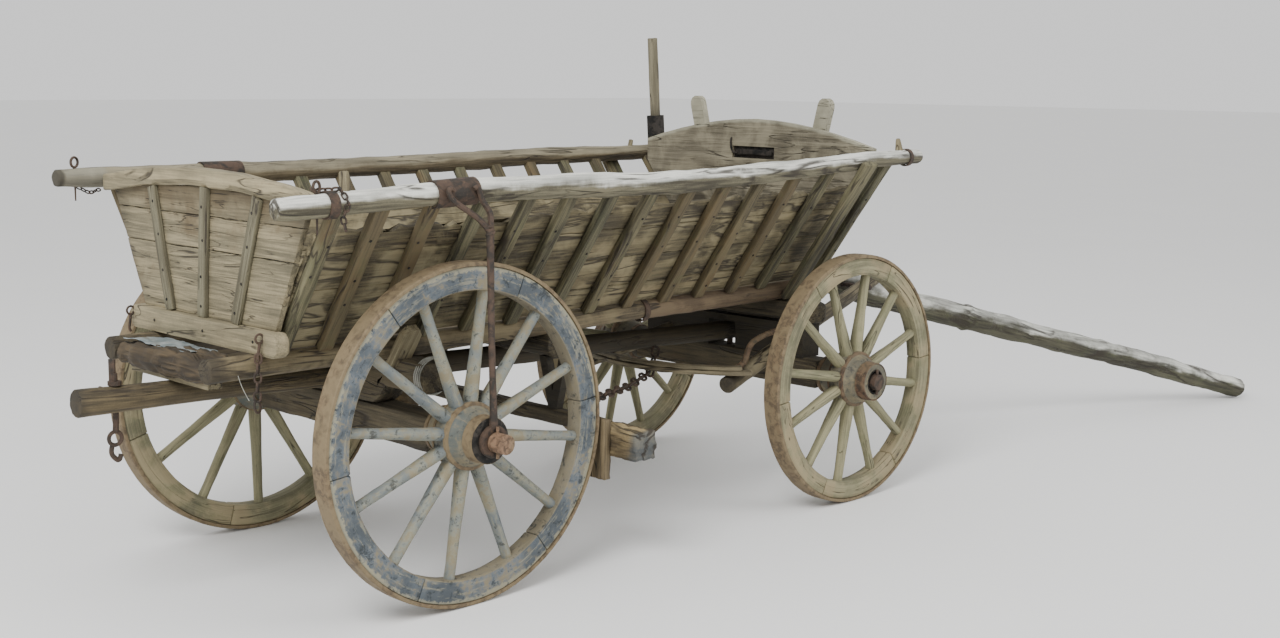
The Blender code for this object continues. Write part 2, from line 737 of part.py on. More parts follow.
def stake(side, x, low, high, foot_width, head_width):
    """Flat stake against the outer side of the rails, in a ladder's frame."""
    out = RAIL_RADIUS + GAP + STAKE_THICKNESS / 2
    outline = [(x - foot_width / 2, low), (x + foot_width / 2, low),
               (x + head_width / 2, high), (x - head_width / 2, high)]
    return plate(outline, STAKE_THICKNESS, (0, 0, -side * out))


def build_reach(cart):
    """Reach pole that ties both axles together, with the bolt through its tail."""
    front = WHEELBASE + REACH_FRONT_OVERHANG
    reach = rod((REACH_REAR, 0, reach_height(REACH_REAR)), (front, 0, reach_height(front)),
                REACH_REAR_RADIUS, REACH_FRONT_RADIUS, 20)
    settle(reach, "reach_pole", parts, cart, DARK_WOOD)

    middle = reach_height(REACH_BOLT_X)
    low = (REACH_BOLT_X, 0, middle - REACH_BOLT_LENGTH / 2)
    high = (REACH_BOLT_X, 0, middle + REACH_BOLT_LENGTH / 2)
    hole = rod(low, high, around(REACH_BOLT_RADIUS + GAP, 12), sides=12)
    hole.parent = cart
    cut(reach, hole, "reach_bolt_hole")
    bolt = rod(low, high, REACH_BOLT_RADIUS, sides=12)
    settle(bolt, "reach_bolt", parts, cart, IRON)
    seat = middle + reach_radius(REACH_BOLT_X) + GAP
    head = rod((REACH_BOLT_X, 0, seat + 0.001), (REACH_BOLT_X, 0, seat + 0.013),
               2.2 * REACH_BOLT_RADIUS, sides=12)
    head.parent = cart
    fuse(bolt, head, "reach_bolt_head")
    return reach


def build_bed_frame(cart):
    """Round bed rails and the pieces that cross under them."""
    for side_name, side in SIDES:
        rail = rod((RAIL_REAR, 0, 0), (RAIL_FRONT, 0, 0), RAIL_RADIUS, sides=16)
        settle(rail, f"bed_rail_{side_name}", parts, flanks[side], RAIL_WOOD)

    half_width = RAIL_HALF_SPACING - RAIL_RADIUS - GAP
    cross_top = CROSS_BEAM_HEIGHT / 2 - 0.012
    beam = box((CROSS_BEAM_WIDTH, 2 * half_width, CROSS_BEAM_HEIGHT),
               (CROSS_BEAM_X, 0, cross_top - CROSS_BEAM_HEIGHT / 2))
    settle(beam, "rear_cross_beam", parts, bed, RAIL_WOOD)

    beam_low = rail_height(CROSS_BEAM_X) + cross_top - CROSS_BEAM_HEIGHT
    board_high = beam_low - 2 * GAP
    reach_top = reach_height(CROSS_BEAM_X) + reach_radius(CROSS_BEAM_X) + 2 * GAP
    board = box((CROSS_BOARD_WIDTH, 2 * CROSS_BOARD_HALF_LENGTH, board_high - reach_top),
                (CROSS_BEAM_X, 0, (board_high + reach_top) / 2))
    settle(board, "rear_cross_board", parts, cart, BOARD_WOOD)

    rail_low = rail_height(CROSSBAR_X) - RAIL_RADIUS / math.cos(RAIL_SLOPE)
    reach_high = reach_height(CROSSBAR_X) + reach_radius(CROSSBAR_X)
    radius = (rail_low - reach_high) / 2 - 2 * GAP
    height = (rail_low + reach_high) / 2
    bar = rod((CROSSBAR_X, -CROSSBAR_HALF_LENGTH, height),
              (CROSSBAR_X, CROSSBAR_HALF_LENGTH, height), radius, sides=16)
    settle(bar, "mid_crossbar", parts, cart, DARK_WOOD)
    return height - radius


def build_brake(cart, crossbar_low):
    """Brake beam under the crossbar, its hangers, and a shoe ahead of each rear wheel."""
    beam = box((BRAKE_BEAM_SIZE, 2 * BRAKE_BEAM_HALF_LENGTH, BRAKE_BEAM_SIZE),
               (CROSSBAR_X, 0, BRAKE_BEAM_TOP - BRAKE_BEAM_SIZE / 2))
    settle(beam, "brake_beam", parts, cart, DARK_WOOD)

    shoe_rear = REAR_WHEEL_RADIUS + BRAKE_SHOE_CLEARANCE
    block_rear = shoe_rear + BRAKE_SHOE_THICKNESS
    low, high = BRAKE_BEAM_TOP + GAP, crossbar_low - GAP
    for side_name, side in SIDES:
        inner = BRAKE_BEAM_HALF_LENGTH + GAP
        block = box((BRAKE_BLOCK_WIDTH, BRAKE_BLOCK_OUTER_END - inner, BRAKE_BLOCK_HEIGHT),
                    (block_rear + GAP + BRAKE_BLOCK_WIDTH / 2,
                     side * (BRAKE_BLOCK_OUTER_END + inner) / 2,
                     BRAKE_BLOCK_TOP - BRAKE_BLOCK_HEIGHT / 2))
        settle(block, f"brake_block_{side_name}", parts, cart, ROTTEN_WOOD)

        shoe = box((BRAKE_SHOE_THICKNESS, BRAKE_SHOE_WIDTH, BRAKE_SHOE_TOP - BRAKE_SHOE_BOTTOM),
                   (shoe_rear + BRAKE_SHOE_THICKNESS / 2, side * REAR_HALF_TRACK,
                    (BRAKE_SHOE_TOP + BRAKE_SHOE_BOTTOM) / 2))
        settle(shoe, f"brake_shoe_{side_name}", parts, cart, BOARD_WOOD)

        y = side * HANGER_Y
        outline = [(y - 0.020, low), (y + 0.020, low), (y + 0.066, high), (y + 0.032, high),
                   (y, low + 0.060), (y - 0.032, high), (y - 0.066, high)]
        hanger = plate(outline, HANGER_THICKNESS, (CROSSBAR_X, 0, 0), CROSS_SECTION)
        settle(hanger, f"brake_hanger_{side_name}", parts, cart, DARK_WOOD)


# Load bed

def build_floor():
    """Floor boards between the bed rails, resting on both bolsters."""
    half_width = RAIL_HALF_SPACING - RAIL_RADIUS - GAP
    board_width = (2 * half_width - (FLOOR_BOARDS - 1) * GAP) / FLOOR_BOARDS
    height = -RAIL_RADIUS + FLOOR_THICKNESS / 2
    for index in range(FLOOR_BOARDS):
        y = -half_width + board_width / 2 + index * (board_width + GAP)
        board = box((FLOOR_FRONT - FLOOR_REAR, board_width, FLOOR_THICKNESS),
                    ((FLOOR_FRONT + FLOOR_REAR) / 2, y, height))
        settle(board, f"floor_board_{index + 1}", parts, bed, BOARD_WOOD)


def build_ladder(side_name, side, rail_rows):
    """Top rail with its slats, which stand on the bed rail."""
    points = [(x, up, 0.0) for x, up, radius in rail_rows]
    ladder = tube(points, [radius for x, up, radius in rail_rows])
    settle(ladder, f"ladder_{side_name}", parts, flanks[side], SLAT_WOOD)
    places = [SLAT_FIRST]
    places += [SLAT_SECOND + index * SLAT_PITCH for index in range(SLATS_IN_RUN)]
    places.append(SLAT_LAST)
    foot = RAIL_RADIUS + GAP
    for index, x in enumerate(places):
        head = table_value(rail_rows, x, 1)
        slat = box((SLAT_WIDTH, head - foot, SLAT_THICKNESS), (x, (head + foot) / 2, 0))
        slat.parent = flanks[side]
        fuse(ladder, slat, f"slat_{side_name}_{index + 1}")


def build_side_boards(side_name, side, edge):
    """Lower and upper board on the inner side of a ladder."""
    inward = side * (SLAT_THICKNESS / 2 + GAP + SIDE_BOARD_THICKNESS / 2)
    lower = [(SIDE_BOARD_REAR, SIDE_BOARD_FOOT), (SIDE_BOARD_FRONT, SIDE_BOARD_FOOT),
             (SIDE_BOARD_FRONT, SIDE_BOARD_SEAM - GAP), (SIDE_BOARD_REAR, SIDE_BOARD_SEAM - GAP)]
    upper = [(SIDE_BOARD_REAR, SIDE_BOARD_SEAM), (SIDE_BOARD_FRONT, SIDE_BOARD_SEAM)]
    upper += list(reversed(edge))
    for level, outline in (("lower", lower), ("upper", upper)):
        board = plate(outline, SIDE_BOARD_THICKNESS, (0, 0, inward))
        settle(board, f"side_board_{level}_{side_name}", parts, flanks[side], BOARD_WOOD)


def build_front_stakes():
    """Stakes that stand on the front bolster and hold the ladders from outside."""
    depth = RAIL_RADIUS + GAP + STAKE_THICKNESS
    drop = rail_height(FRONT_STAKE_X) - bolster_top(WHEELBASE) - GAP
    low = (depth * math.sin(LEAN) - drop) / math.cos(LEAN) + 2 * GAP
    for side_name, side in SIDES:
        made = stake(side, FRONT_STAKE_X, low, FRONT_STAKE_TOP, FRONT_STAKE_FOOT_WIDTH,
                     FRONT_STAKE_TOP_WIDTH)
        settle(made, f"front_stake_{side_name}", parts, flanks[side], SLAT_WOOD)


def build_front_board(cart):
    """Arched board that closes the front, with its slot and two round-headed battens."""
    floor_top = rail_height(FRONT_BOARD_X) - RAIL_RADIUS + FLOOR_THICKNESS + 3 * GAP
    rail_top = rail_height(FRONT_BOARD_X) + RAIL_RADIUS + 5 * GAP
    narrow = RAIL_HALF_SPACING - RAIL_RADIUS - FRONT_BOARD_SIDE_CLEARANCE
    inset = SLAT_THICKNESS / 2 / math.cos(LEAN) + FRONT_BOARD_SIDE_CLEARANCE

    def ladder_y(z):
        return RAIL_HALF_SPACING + (z - rail_height(FRONT_BOARD_X)) * math.tan(LEAN) - inset

    shoulder = (rail_height(FRONT_BOARD_X)
                + (FRONT_BOARD_HALF_WIDTH + inset - RAIL_HALF_SPACING) / math.tan(LEAN))
    slope_top = rail_top + FRONT_BOARD_NOTCH_RISE
    half = [(narrow, floor_top), (narrow, rail_top), (ladder_y(slope_top), slope_top),
            (FRONT_BOARD_HALF_WIDTH, shoulder)]
    steps = 12
    arch = []
    for index in range(steps + 1):
        y = between(FRONT_BOARD_HALF_WIDTH, -FRONT_BOARD_HALF_WIDTH, index / steps)
        arch.append((y, front_arch_height(y)))
    outline = half + arch + [(-y, z) for y, z in reversed(half)]
    board = plate(outline, FRONT_BOARD_THICKNESS, (FRONT_BOARD_X, 0, 0), CROSS_SECTION)
    settle(board, "front_board", parts, cart, BOARD_WOOD)
    slot = box((4 * FRONT_BOARD_THICKNESS, 2 * FRONT_SLOT_HALF_WIDTH,
                FRONT_SLOT_TOP - FRONT_SLOT_BOTTOM),
               (FRONT_BOARD_X, 0, (FRONT_SLOT_TOP + FRONT_SLOT_BOTTOM) / 2))
    slot.parent = cart
    cut(board, slot, "front_slot")
    face = FRONT_BOARD_X + (FRONT_BOARD_THICKNESS + FRONT_BATTEN_THICKNESS) / 2 - 0.001
    for side_name, side in SIDES:
        batten = round_headed(side, FRONT_BATTEN_FOOT, FRONT_BATTEN_HEAD, FRONT_BATTEN_WIDTH)
        made = plate(batten, FRONT_BATTEN_THICKNESS, (face, 0, 0), CROSS_SECTION)
        made.parent = cart
        fuse(board, made, f"front_batten_{side_name}")


def round_headed(side, foot, head, width):
    """Outline of a leaning batten with a round head."""
    start = Vector((side * foot[0], foot[1]))
    end = Vector((side * head[0], head[1]))
    along = (end - start).normalized()
    across = Vector((along.y, -along.x)) * width / 2
    outline = [start + across]
    steps = 6
    for index in range(steps + 1):
        angle = math.pi * index / steps
        outline.append(end + across * math.cos(angle) + along * width / 2 * math.sin(angle))
    outline.append(start - across)
    return outline


def build_corner_post(cart):
    """Square post in its iron socket on the left top rail."""
    rail_up = table_value(LEFT_TOP_RAIL, POST_X, 1)
    rail_middle = flank_point(1, POST_X, rail_up, 0)
    rail_radius = table_value(LEFT_TOP_RAIL, POST_X, 2)
    foot = rail_middle.z + rail_radius + SOCKET_SIZE / 2 * abs(math.sin(POST_TILT)) + 3 * GAP
    seat = empty("post_seat", cart, (POST_X, rail_middle.y, foot), (0, POST_TILT, 0))
    socket = box((SOCKET_SIZE, SOCKET_SIZE, SOCKET_HEIGHT), (0, 0, SOCKET_HEIGHT / 2))
    settle(socket, "post_socket", parts, seat, IRON)
    pocket_size = POST_SIZE + 2 * GAP
    pocket = box((pocket_size, pocket_size, SOCKET_HEIGHT),
                 (0, 0, SOCKET_FLOOR + SOCKET_HEIGHT / 2))
    pocket.parent = seat
    cut(socket, pocket, "post_pocket")
    low = SOCKET_FLOOR + GAP
    high = (POST_TOP - foot) / math.cos(POST_TILT)
    post = box((POST_SIZE, POST_SIZE, high - low), (0, 0, (high + low) / 2))
    settle(post, "corner_post", parts, seat, BOARD_WOOD)


def build_fork_rod(cart, side_name, side, rail_rows):
    """Forked rod from the rear axle's end up to the clamp on the top rail."""
    eye_y = side * (REAR_HALF_TRACK + NAVE_HALF_LENGTH + SWING_GAP + FORK_EYE_WIDTH / 2)
    eye = turned(ring_profile(FORK_EYE_RADIUS, around(AXLE_RADIUS + GAP, 24), FORK_EYE_WIDTH),
                 24, (math.pi / 2, 0, 0))
    eye.location = (0, eye_y, REAR_WHEEL_RADIUS)
    settle(eye, f"fork_rod_{side_name}", parts, cart, IRON)

    clamp_up = table_value(rail_rows, CLAMP_MIDDLE, 1)
    clamp_radius = max(table_value(rail_rows, CLAMP_MIDDLE + CLAMP_LENGTH / 2, 2),
                       table_value(rail_rows, CLAMP_MIDDLE - CLAMP_LENGTH / 2, 2)) + GAP
    rail = flank_point(side, CLAMP_MIDDLE, clamp_up, 0)
    arm_y = rail.y + side * (clamp_radius + CLAMP_THICKNESS + FORK_ARM_RADIUS + 3 * GAP)
    low, high = rail.z - FORK_ARM_REACH[0], rail.z + FORK_ARM_REACH[1]
    crotch = (FORK_CROTCH_X, eye_y, FORK_HEIGHT)
    stem = tube([(0.0, eye_y, REAR_WHEEL_RADIUS + FORK_EYE_RADIUS - FORK_EYE_OVERLAP),
                 (FORK_STEM_X, eye_y, RAIL_HEIGHT + FORK_KNEE_RISE), crotch,
                 (FORK_REAR_SHOULDER[0], between(eye_y, arm_y, 0.5),
                  FORK_HEIGHT + FORK_REAR_SHOULDER[1]),
                 (FORK_REAR_ARM_X, arm_y, low), (FORK_REAR_ARM_X, arm_y, high)],
                [FORK_ROD_RADIUS] * 3 + [FORK_ARM_RADIUS] * 3, 2)
    stem.parent = cart
    arm = tube([(FORK_CROTCH_X, eye_y, FORK_HEIGHT - FORK_ARM_START),
                (FORK_FRONT_SHOULDER[0], between(eye_y, arm_y, 0.4),
                 FORK_HEIGHT + FORK_FRONT_SHOULDER[1]),
                (FORK_FRONT_ARM_X, arm_y, low), (FORK_FRONT_ARM_X, arm_y, high)],
               [FORK_ARM_RADIUS] * 4, 2)
    arm.parent = cart
    fuse(eye, stem, f"fork_stem_{side_name}")
    fuse(eye, arm, f"fork_arm_{side_name}")

    slope = math.atan2(rail_rows_slope(rail_rows, CLAMP_MIDDLE), 1.0)
    inner, outer = clamp_radius, clamp_radius + CLAMP_THICKNESS
    steps = 18
    sweep = [between(-math.pi + CLAMP_MOUTH, math.pi - CLAMP_MOUTH, i / steps)
             for i in range(steps + 1)]
    inner = around(inner, 2 * steps)
    outline = [(outer * math.cos(a), outer * math.sin(a)) for a in sweep]
    outline += [(inner * math.cos(a), inner * math.sin(a)) for a in reversed(sweep)]
    clamp = plate(outline, CLAMP_LENGTH, (CLAMP_MIDDLE, clamp_up, 0),
                  (math.pi / 2, 0, math.pi / 2 + slope))
    settle(clamp, f"rail_clamp_{side_name}", parts, flanks[side], IRON)


def rail_rows_slope(rows, x):
    """Slope of a rail's middle line at x."""
    step = 0.01
    return (table_value(rows, x + step, 1) - table_value(rows, x - step, 1)) / (2 * step)


def build_tailboard(cart):
    """Tailboard on the bed rails: sill with battens, two planks and an arched head."""
    slide = empty("tailboard_slide", cart, (TAIL_FRONT_FACE, 0, 0))
    sill_top = TAIL_FOOT + TAIL_SILL_HEIGHT
    sill = box((TAIL_SILL_THICKNESS, 2 * TAIL_SILL_HALF_LENGTH, TAIL_SILL_HEIGHT),
               (-TAIL_SILL_THICKNESS / 2, 0, TAIL_FOOT + TAIL_SILL_HEIGHT / 2))
    settle(sill, "tail_frame", parts, slide, BOARD_WOOD)
    batten_x = -TAIL_PLANK_THICKNESS - GAP - TAIL_BATTEN_THICKNESS / 2
    for index, (foot_y, head_y) in enumerate(TAIL_BATTENS):
        half = TAIL_BATTEN_WIDTH / 2
        low = sill_top - 0.010
        left, right = tail_arch_height(head_y + half), tail_arch_height(head_y - half)
        head = min(left, right) - TAIL_ARCH_DEPTH - 3 * GAP
        outline = [(foot_y - half, low), (foot_y + half, low), (head_y + half, head),
                   (head_y - half, head)]
        batten = plate(outline, TAIL_BATTEN_THICKNESS, (batten_x, 0, 0), CROSS_SECTION)
        batten.parent = slide
        fuse(sill, batten, f"tail_batten_{index + 1}")

    low = sill_top + GAP

    def edge_y(z):
        share = (z - sill_top) / (TAIL_HEAD_HEIGHT - sill_top)
        return between(TAIL_FOOT_HALF_WIDTH, TAIL_HEAD_HALF_WIDTH, share)

    steps = 10
    ends = TAIL_ARCH_HALF_LENGTH
    arch_bottom = []
    for index in range(steps + 1):
        y = between(-edge_y(TAIL_HEAD_HEIGHT), edge_y(TAIL_HEAD_HEIGHT), index / steps)
        arch_bottom.append((y, tail_arch_height(y) - TAIL_ARCH_DEPTH - 3 * GAP))
    lower = [(-edge_y(low), low), (edge_y(low), low),
             (edge_y(TAIL_SEAM_HEIGHT), TAIL_SEAM_HEIGHT - GAP),
             (-edge_y(TAIL_SEAM_HEIGHT), TAIL_SEAM_HEIGHT - GAP)]
    upper = [(-edge_y(TAIL_SEAM_HEIGHT), TAIL_SEAM_HEIGHT),
             (edge_y(TAIL_SEAM_HEIGHT), TAIL_SEAM_HEIGHT)]
    upper += list(reversed(arch_bottom))
    plank_x = -TAIL_PLANK_THICKNESS / 2
    for level, outline in (("lower", lower), ("upper", upper)):
        plank = plate(outline, TAIL_PLANK_THICKNESS, (plank_x, 0, 0), CROSS_SECTION)
        settle(plank, f"tail_plank_{level}", parts, slide, BOARD_WOOD)

    top_edge, bottom_edge = [], []
    for index in range(steps + 1):
        y = between(-ends, ends, index / steps)
        bottom_edge.append((y, tail_arch_height(y) - TAIL_ARCH_DEPTH))
        top_edge.append((y, tail_arch_height(y)))
    arch = plate(bottom_edge + list(reversed(top_edge)), TAIL_ARCH_THICKNESS,
                 (-TAIL_ARCH_THICKNESS / 2, 0, 0), CROSS_SECTION)
    settle(arch, "tail_arch", parts, slide, BOARD_WOOD)


# Fore-carriage

def build_fore_carriage(cart, reach):
    """Steered axle with its block, hounds, sway bar and braces, and the kingpin through it."""
    fore = empty("fore_carriage", cart, (WHEELBASE, 0, 0))
    nave_end = FRONT_HALF_TRACK + NAVE_HALF_LENGTH
    axle_iron(nave_end + FRONT_AXLE_OVERHANG, FRONT_WHEEL_RADIUS, nave_end + LINCHPIN_OFFSET,
              fore, "front_axle_iron")
    beam = box((AXLE_BEAM_WIDTH, 2 * FORE_BEAM_HALF_LENGTH, AXLE_BEAM_HEIGHT),
               (0, 0, FRONT_WHEEL_RADIUS))
    settle(beam, "front_axle_beam", parts, fore, DARK_WOOD)
    cut(beam, beam_bore(FORE_BEAM_HALF_LENGTH + 0.05, FRONT_WHEEL_RADIUS, fore),
        "front_beam_bore")

    block_low = FORE_BEAM_TOP + GAP
    block_high = FRONT_BOLSTER_BOTTOM - FORE_BLOCK_TOP_CLEARANCE
    slot_high = reach_height(WHEELBASE) + reach_radius(WHEELBASE) + SWING_GAP
    end, slot = FORE_BLOCK_HALF_LENGTH, REACH_SLOT_HALF_WIDTH
    outline = [(-end, block_low), (-slot, block_low), (-slot, slot_high), (slot, slot_high),
               (slot, block_low), (end, block_low), (end, block_high), (-end, block_high)]
    block = plate(outline, BOLSTER_WIDTH, rotation=CROSS_SECTION)
    settle(block, "fore_block", parts, fore, DARK_WOOD)

    bolster_high = bolster_top(WHEELBASE)
    length = FRONT_BOLSTER_HALF_LENGTH
    round_end = (bolster_high - FRONT_BOLSTER_BOTTOM) / 2
    outline = []
    for direction in (1, -1):
        for index in range(7):
            angle = math.pi * (index / 6 - 0.5)
            outline.append((direction * (length - round_end + round_end * math.cos(angle)),
                            FRONT_BOLSTER_BOTTOM + round_end
                            + direction * round_end * math.sin(angle)))
    bolster = plate(outline, BOLSTER_WIDTH, (WHEELBASE, 0, 0), CROSS_SECTION)
    settle(bolster, "front_bolster", parts, cart, DARK_WOOD)

    pin_low = FRONT_WHEEL_RADIUS + AXLE_RADIUS + 0.008
    pin_high = bolster_high - 0.002
    kingpin = rod((WHEELBASE, 0, pin_low), (WHEELBASE, 0, pin_high), KINGPIN_RADIUS, sides=24)
    settle(kingpin, "kingpin", parts, cart, IRON)
    for item, clearance, name in ((bolster, GAP, "bolster_pin_hole"), (reach, GAP, "reach_pin_hole"),
                                  (block, PIN_GAP, "block_pin_hole"),
                                  (beam, PIN_GAP, "beam_pin_hole")):
        hole = rod((WHEELBASE, 0, pin_low - 2 * PIN_GAP), (WHEELBASE, 0, pin_high + 0.05),
                   around(KINGPIN_RADIUS + clearance, 24), sides=24)
        hole.parent = cart
        cut(item, hole, name)

    pin_axis_low = (POLE_PIN_X - WHEELBASE, -POLE_PIN_HALF_LENGTH, POLE_PIN_HEIGHT)
    pin_axis_high = (POLE_PIN_X - WHEELBASE, POLE_PIN_HALF_LENGTH, POLE_PIN_HEIGHT)
    pin = rod(pin_axis_low, pin_axis_high, POLE_PIN_RADIUS, sides=16)
    settle(pin, "pole_pin", parts, fore, IRON)

    to_fore = Vector((WHEELBASE, 0, 0))
    for side_name, side in SIDES:
        rear = hound_point(HOUND_REAR[0], side) - to_fore
        front = hound_point(HOUND_FRONT[0], side) - to_fore
        hound = rod(rear, front, HOUND_REAR_RADIUS, HOUND_FRONT_RADIUS, 14)
        settle(hound, f"hound_{side_name}", parts, fore, HOUND_WOOD)
        for item in (block, beam):
            groove = rod(rear, front, around(HOUND_REAR_RADIUS + GAP, 14),
                         around(HOUND_FRONT_RADIUS + GAP, 14), 14)
            groove.parent = fore
            cut(item, groove, f"{item.name}_groove_{side_name}")
        pin_hole = rod(pin_axis_low, pin_axis_high, around(POLE_PIN_RADIUS + GAP, 16), sides=16)
        pin_hole.parent = fore
        cut(hound, pin_hole, f"hound_pin_hole_{side_name}")
        build_brace(fore, side_name, side)
    build_sway_bar(fore)
    return fore


def build_sway_bar(fore):
    """Curved bar that rides on the hounds' rear ends under the reach."""
    outer, inner = SWAY_RADIUS + SWAY_WIDTH / 2, SWAY_RADIUS - SWAY_WIDTH / 2
    seat_x = HOUND_REAR[0]
    for _ in range(4):
        seat_x = WHEELBASE - math.sqrt(inner ** 2 - hound_point(seat_x, 1).y ** 2)
    low = hound_point(seat_x, 1).z + HOUND_REAR_RADIUS / math.cos(HOUND_PITCH) + 2 * GAP
    angles = [between(-SWAY_HALF_ANGLE, SWAY_HALF_ANGLE, i / SWAY_STEPS)
              for i in range(SWAY_STEPS + 1)]
    outline = [(-outer * math.cos(a), outer * math.sin(a)) for a in angles]
    outline += [(-inner * math.cos(a), inner * math.sin(a)) for a in reversed(angles)]
    bar = plate(outline, SWAY_THICKNESS, (0, 0, low + SWAY_THICKNESS / 2))
    settle(bar, "sway_bar", parts, fore, HOUND_WOOD)


def build_brace(fore, side_name, side):
    """Bent iron strap from a hound up to the fore-carriage's block."""
    rise = (HOUND_REAR_RADIUS + BRACE_THICKNESS / 2) / math.cos(HOUND_PITCH) + 2 * GAP
    points = []
    for x in (BRACE_FOOT_X, BRACE_FOOT_X + BRACE_FOOT_LENGTH):
        points.append((x - WHEELBASE, hound_point(x, side).z + rise))
    points.append((BRACE_KNEE[0] - WHEELBASE, BRACE_KNEE[1]))
    points.append((BRACE_SHOULDER[0] - WHEELBASE, BRACE_SHOULDER[1]))
    points.append((-BOLSTER_WIDTH / 2 - GAP, BRACE_SHOULDER[1]))
    brace = strap(points, BRACE_WIDTH, BRACE_THICKNESS)
    brace.location = (0, hound_point(BRACE_FOOT_X, side).y, 0)
    settle(brace, f"brace_{side_name}", parts, fore, IRON)


def build_pole(fore):
    """Pole pinned between the hounds, with its tip resting on the ground."""
    hinge = empty("pole_hinge", fore, (POLE_PIN_X - WHEELBASE, 0, POLE_PIN_HEIGHT),
                  (0, POLE_DROP, POLE_HEADING))
    pole = rod((-POLE_TAIL, 0, 0), (POLE_LENGTH, 0, 0), POLE_TAIL_RADIUS, POLE_TIP_RADIUS,
               POLE_SIDES)
    settle(pole, "pole", parts, hinge, POLE_WOOD)
    hole = rod((POLE_PIN_X - WHEELBASE, -POLE_PIN_HALF_LENGTH, POLE_PIN_HEIGHT),
               (POLE_PIN_X - WHEELBASE, POLE_PIN_HALF_LENGTH, POLE_PIN_HEIGHT),
               around(POLE_PIN_RADIUS + PIN_GAP, 16), sides=16)
    hole.parent = fore
    cut(pole, hole, "pole_pin_hole")


clear_scene()
parts = new_collection("ladder_cart")
cutters = new_collection("cutters")

TYRE_IRON = material("tyre_iron", (0.33, 0.23, 0.15), 0.75, 0.55)
IRON = material("iron", (0.20, 0.12, 0.08), 0.70, 0.60)
PAINTED_WOOD = material("painted_wood", (0.40, 0.43, 0.45), 0.80)
WHEEL_WOOD = material("wheel_wood", (0.42, 0.40, 0.32), 0.85)
SLAT_WOOD = material("slat_wood", (0.38, 0.34, 0.25), 0.85)
BOARD_WOOD = material("board_wood", (0.46, 0.39, 0.28), 0.90)
RAIL_WOOD = material("rail_wood", (0.36, 0.29, 0.20), 0.85)
DARK_WOOD = material("dark_wood", (0.16, 0.13, 0.09), 0.90)
ROTTEN_WOOD = material("rotten_wood", (0.48, 0.38, 0.20), 0.95)
HOUND_WOOD = material("hound_wood", (0.34, 0.28, 0.19), 0.85)
POLE_WOOD = material("pole_wood", (0.52, 0.50, 0.46), 0.85)

origin = empty("origin", None)
cart_frame = empty("cart", origin, (-ORIGIN_X, 0, 0))
bed = empty("bed", cart_frame, (0, 0, RAIL_HEIGHT), (0, -RAIL_SLOPE, 0))
flanks = {}
for flank_name, flank_side in SIDES:
    flanks[flank_side] = empty(
        f"flank_{flank_name}", cart_frame, (0, flank_side * RAIL_HALF_SPACING, RAIL_HEIGHT),
        (math.pi / 2 - flank_side * LEAN, -RAIL_SLOPE, 0))

reach_pole = build_reach(cart_frame)
build_rear_axle(cart_frame)
build_brake(cart_frame, build_bed_frame(cart_frame))
build_floor()
for flank_name, flank_side, rail_table, board_edge in (
        ("left", 1, LEFT_TOP_RAIL, LEFT_BOARD_EDGE),
        ("right", -1, RIGHT_TOP_RAIL, RIGHT_BOARD_EDGE)):
    build_ladder(flank_name, flank_side, rail_table)
    build_side_boards(flank_name, flank_side, board_edge)
    build_fork_rod(cart_frame, flank_name, flank_side, rail_table)
build_front_stakes()
build_front_board(cart_frame)
build_corner_post(cart_frame)
build_tailboard(cart_frame)
fore_frame = build_fore_carriage(cart_frame, reach_pole)
build_pole(fore_frame)
build_wheels(cart_frame, fore_frame)
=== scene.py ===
"""Looks of a weathered four-wheeled ladder cart, built round its fixed frame.

Metres, +Z up, forward is +X and the cart's left is +Y. Timbers are shaped in a frame of their
own with the grain along X, and are then put in their place.
"""

import math
import random

import bmesh
import bpy
from mathutils import Euler, Matrix, Vector


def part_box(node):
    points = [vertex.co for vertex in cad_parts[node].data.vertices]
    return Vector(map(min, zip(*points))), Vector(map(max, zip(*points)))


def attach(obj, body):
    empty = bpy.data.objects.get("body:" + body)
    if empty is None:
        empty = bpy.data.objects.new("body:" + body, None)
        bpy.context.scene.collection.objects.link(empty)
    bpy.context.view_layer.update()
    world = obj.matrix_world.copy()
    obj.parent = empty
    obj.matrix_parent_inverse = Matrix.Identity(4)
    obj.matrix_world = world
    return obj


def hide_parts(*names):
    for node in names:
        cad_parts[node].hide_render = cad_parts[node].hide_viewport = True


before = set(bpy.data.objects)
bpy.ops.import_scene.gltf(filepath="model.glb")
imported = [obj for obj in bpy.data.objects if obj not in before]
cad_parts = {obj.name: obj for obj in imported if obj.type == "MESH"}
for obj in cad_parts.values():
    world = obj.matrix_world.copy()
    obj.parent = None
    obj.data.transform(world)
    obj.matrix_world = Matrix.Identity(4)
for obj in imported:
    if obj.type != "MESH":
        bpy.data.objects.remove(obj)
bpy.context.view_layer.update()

bl_info = {
    "name": "Weathered ladder cart",
    "version": (1, 0, 0),
    "blender": (4, 5, 0),
    "location": "3D View > Sidebar > Ladder Cart",
    "description": "Dresses the frame of an old ladder cart in worn wood and rusty iron",
    "category": "Object",
}


def middle_of(node):
    """Middle of a frame node's box."""
    low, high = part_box(node)
    return (low + high) / 2


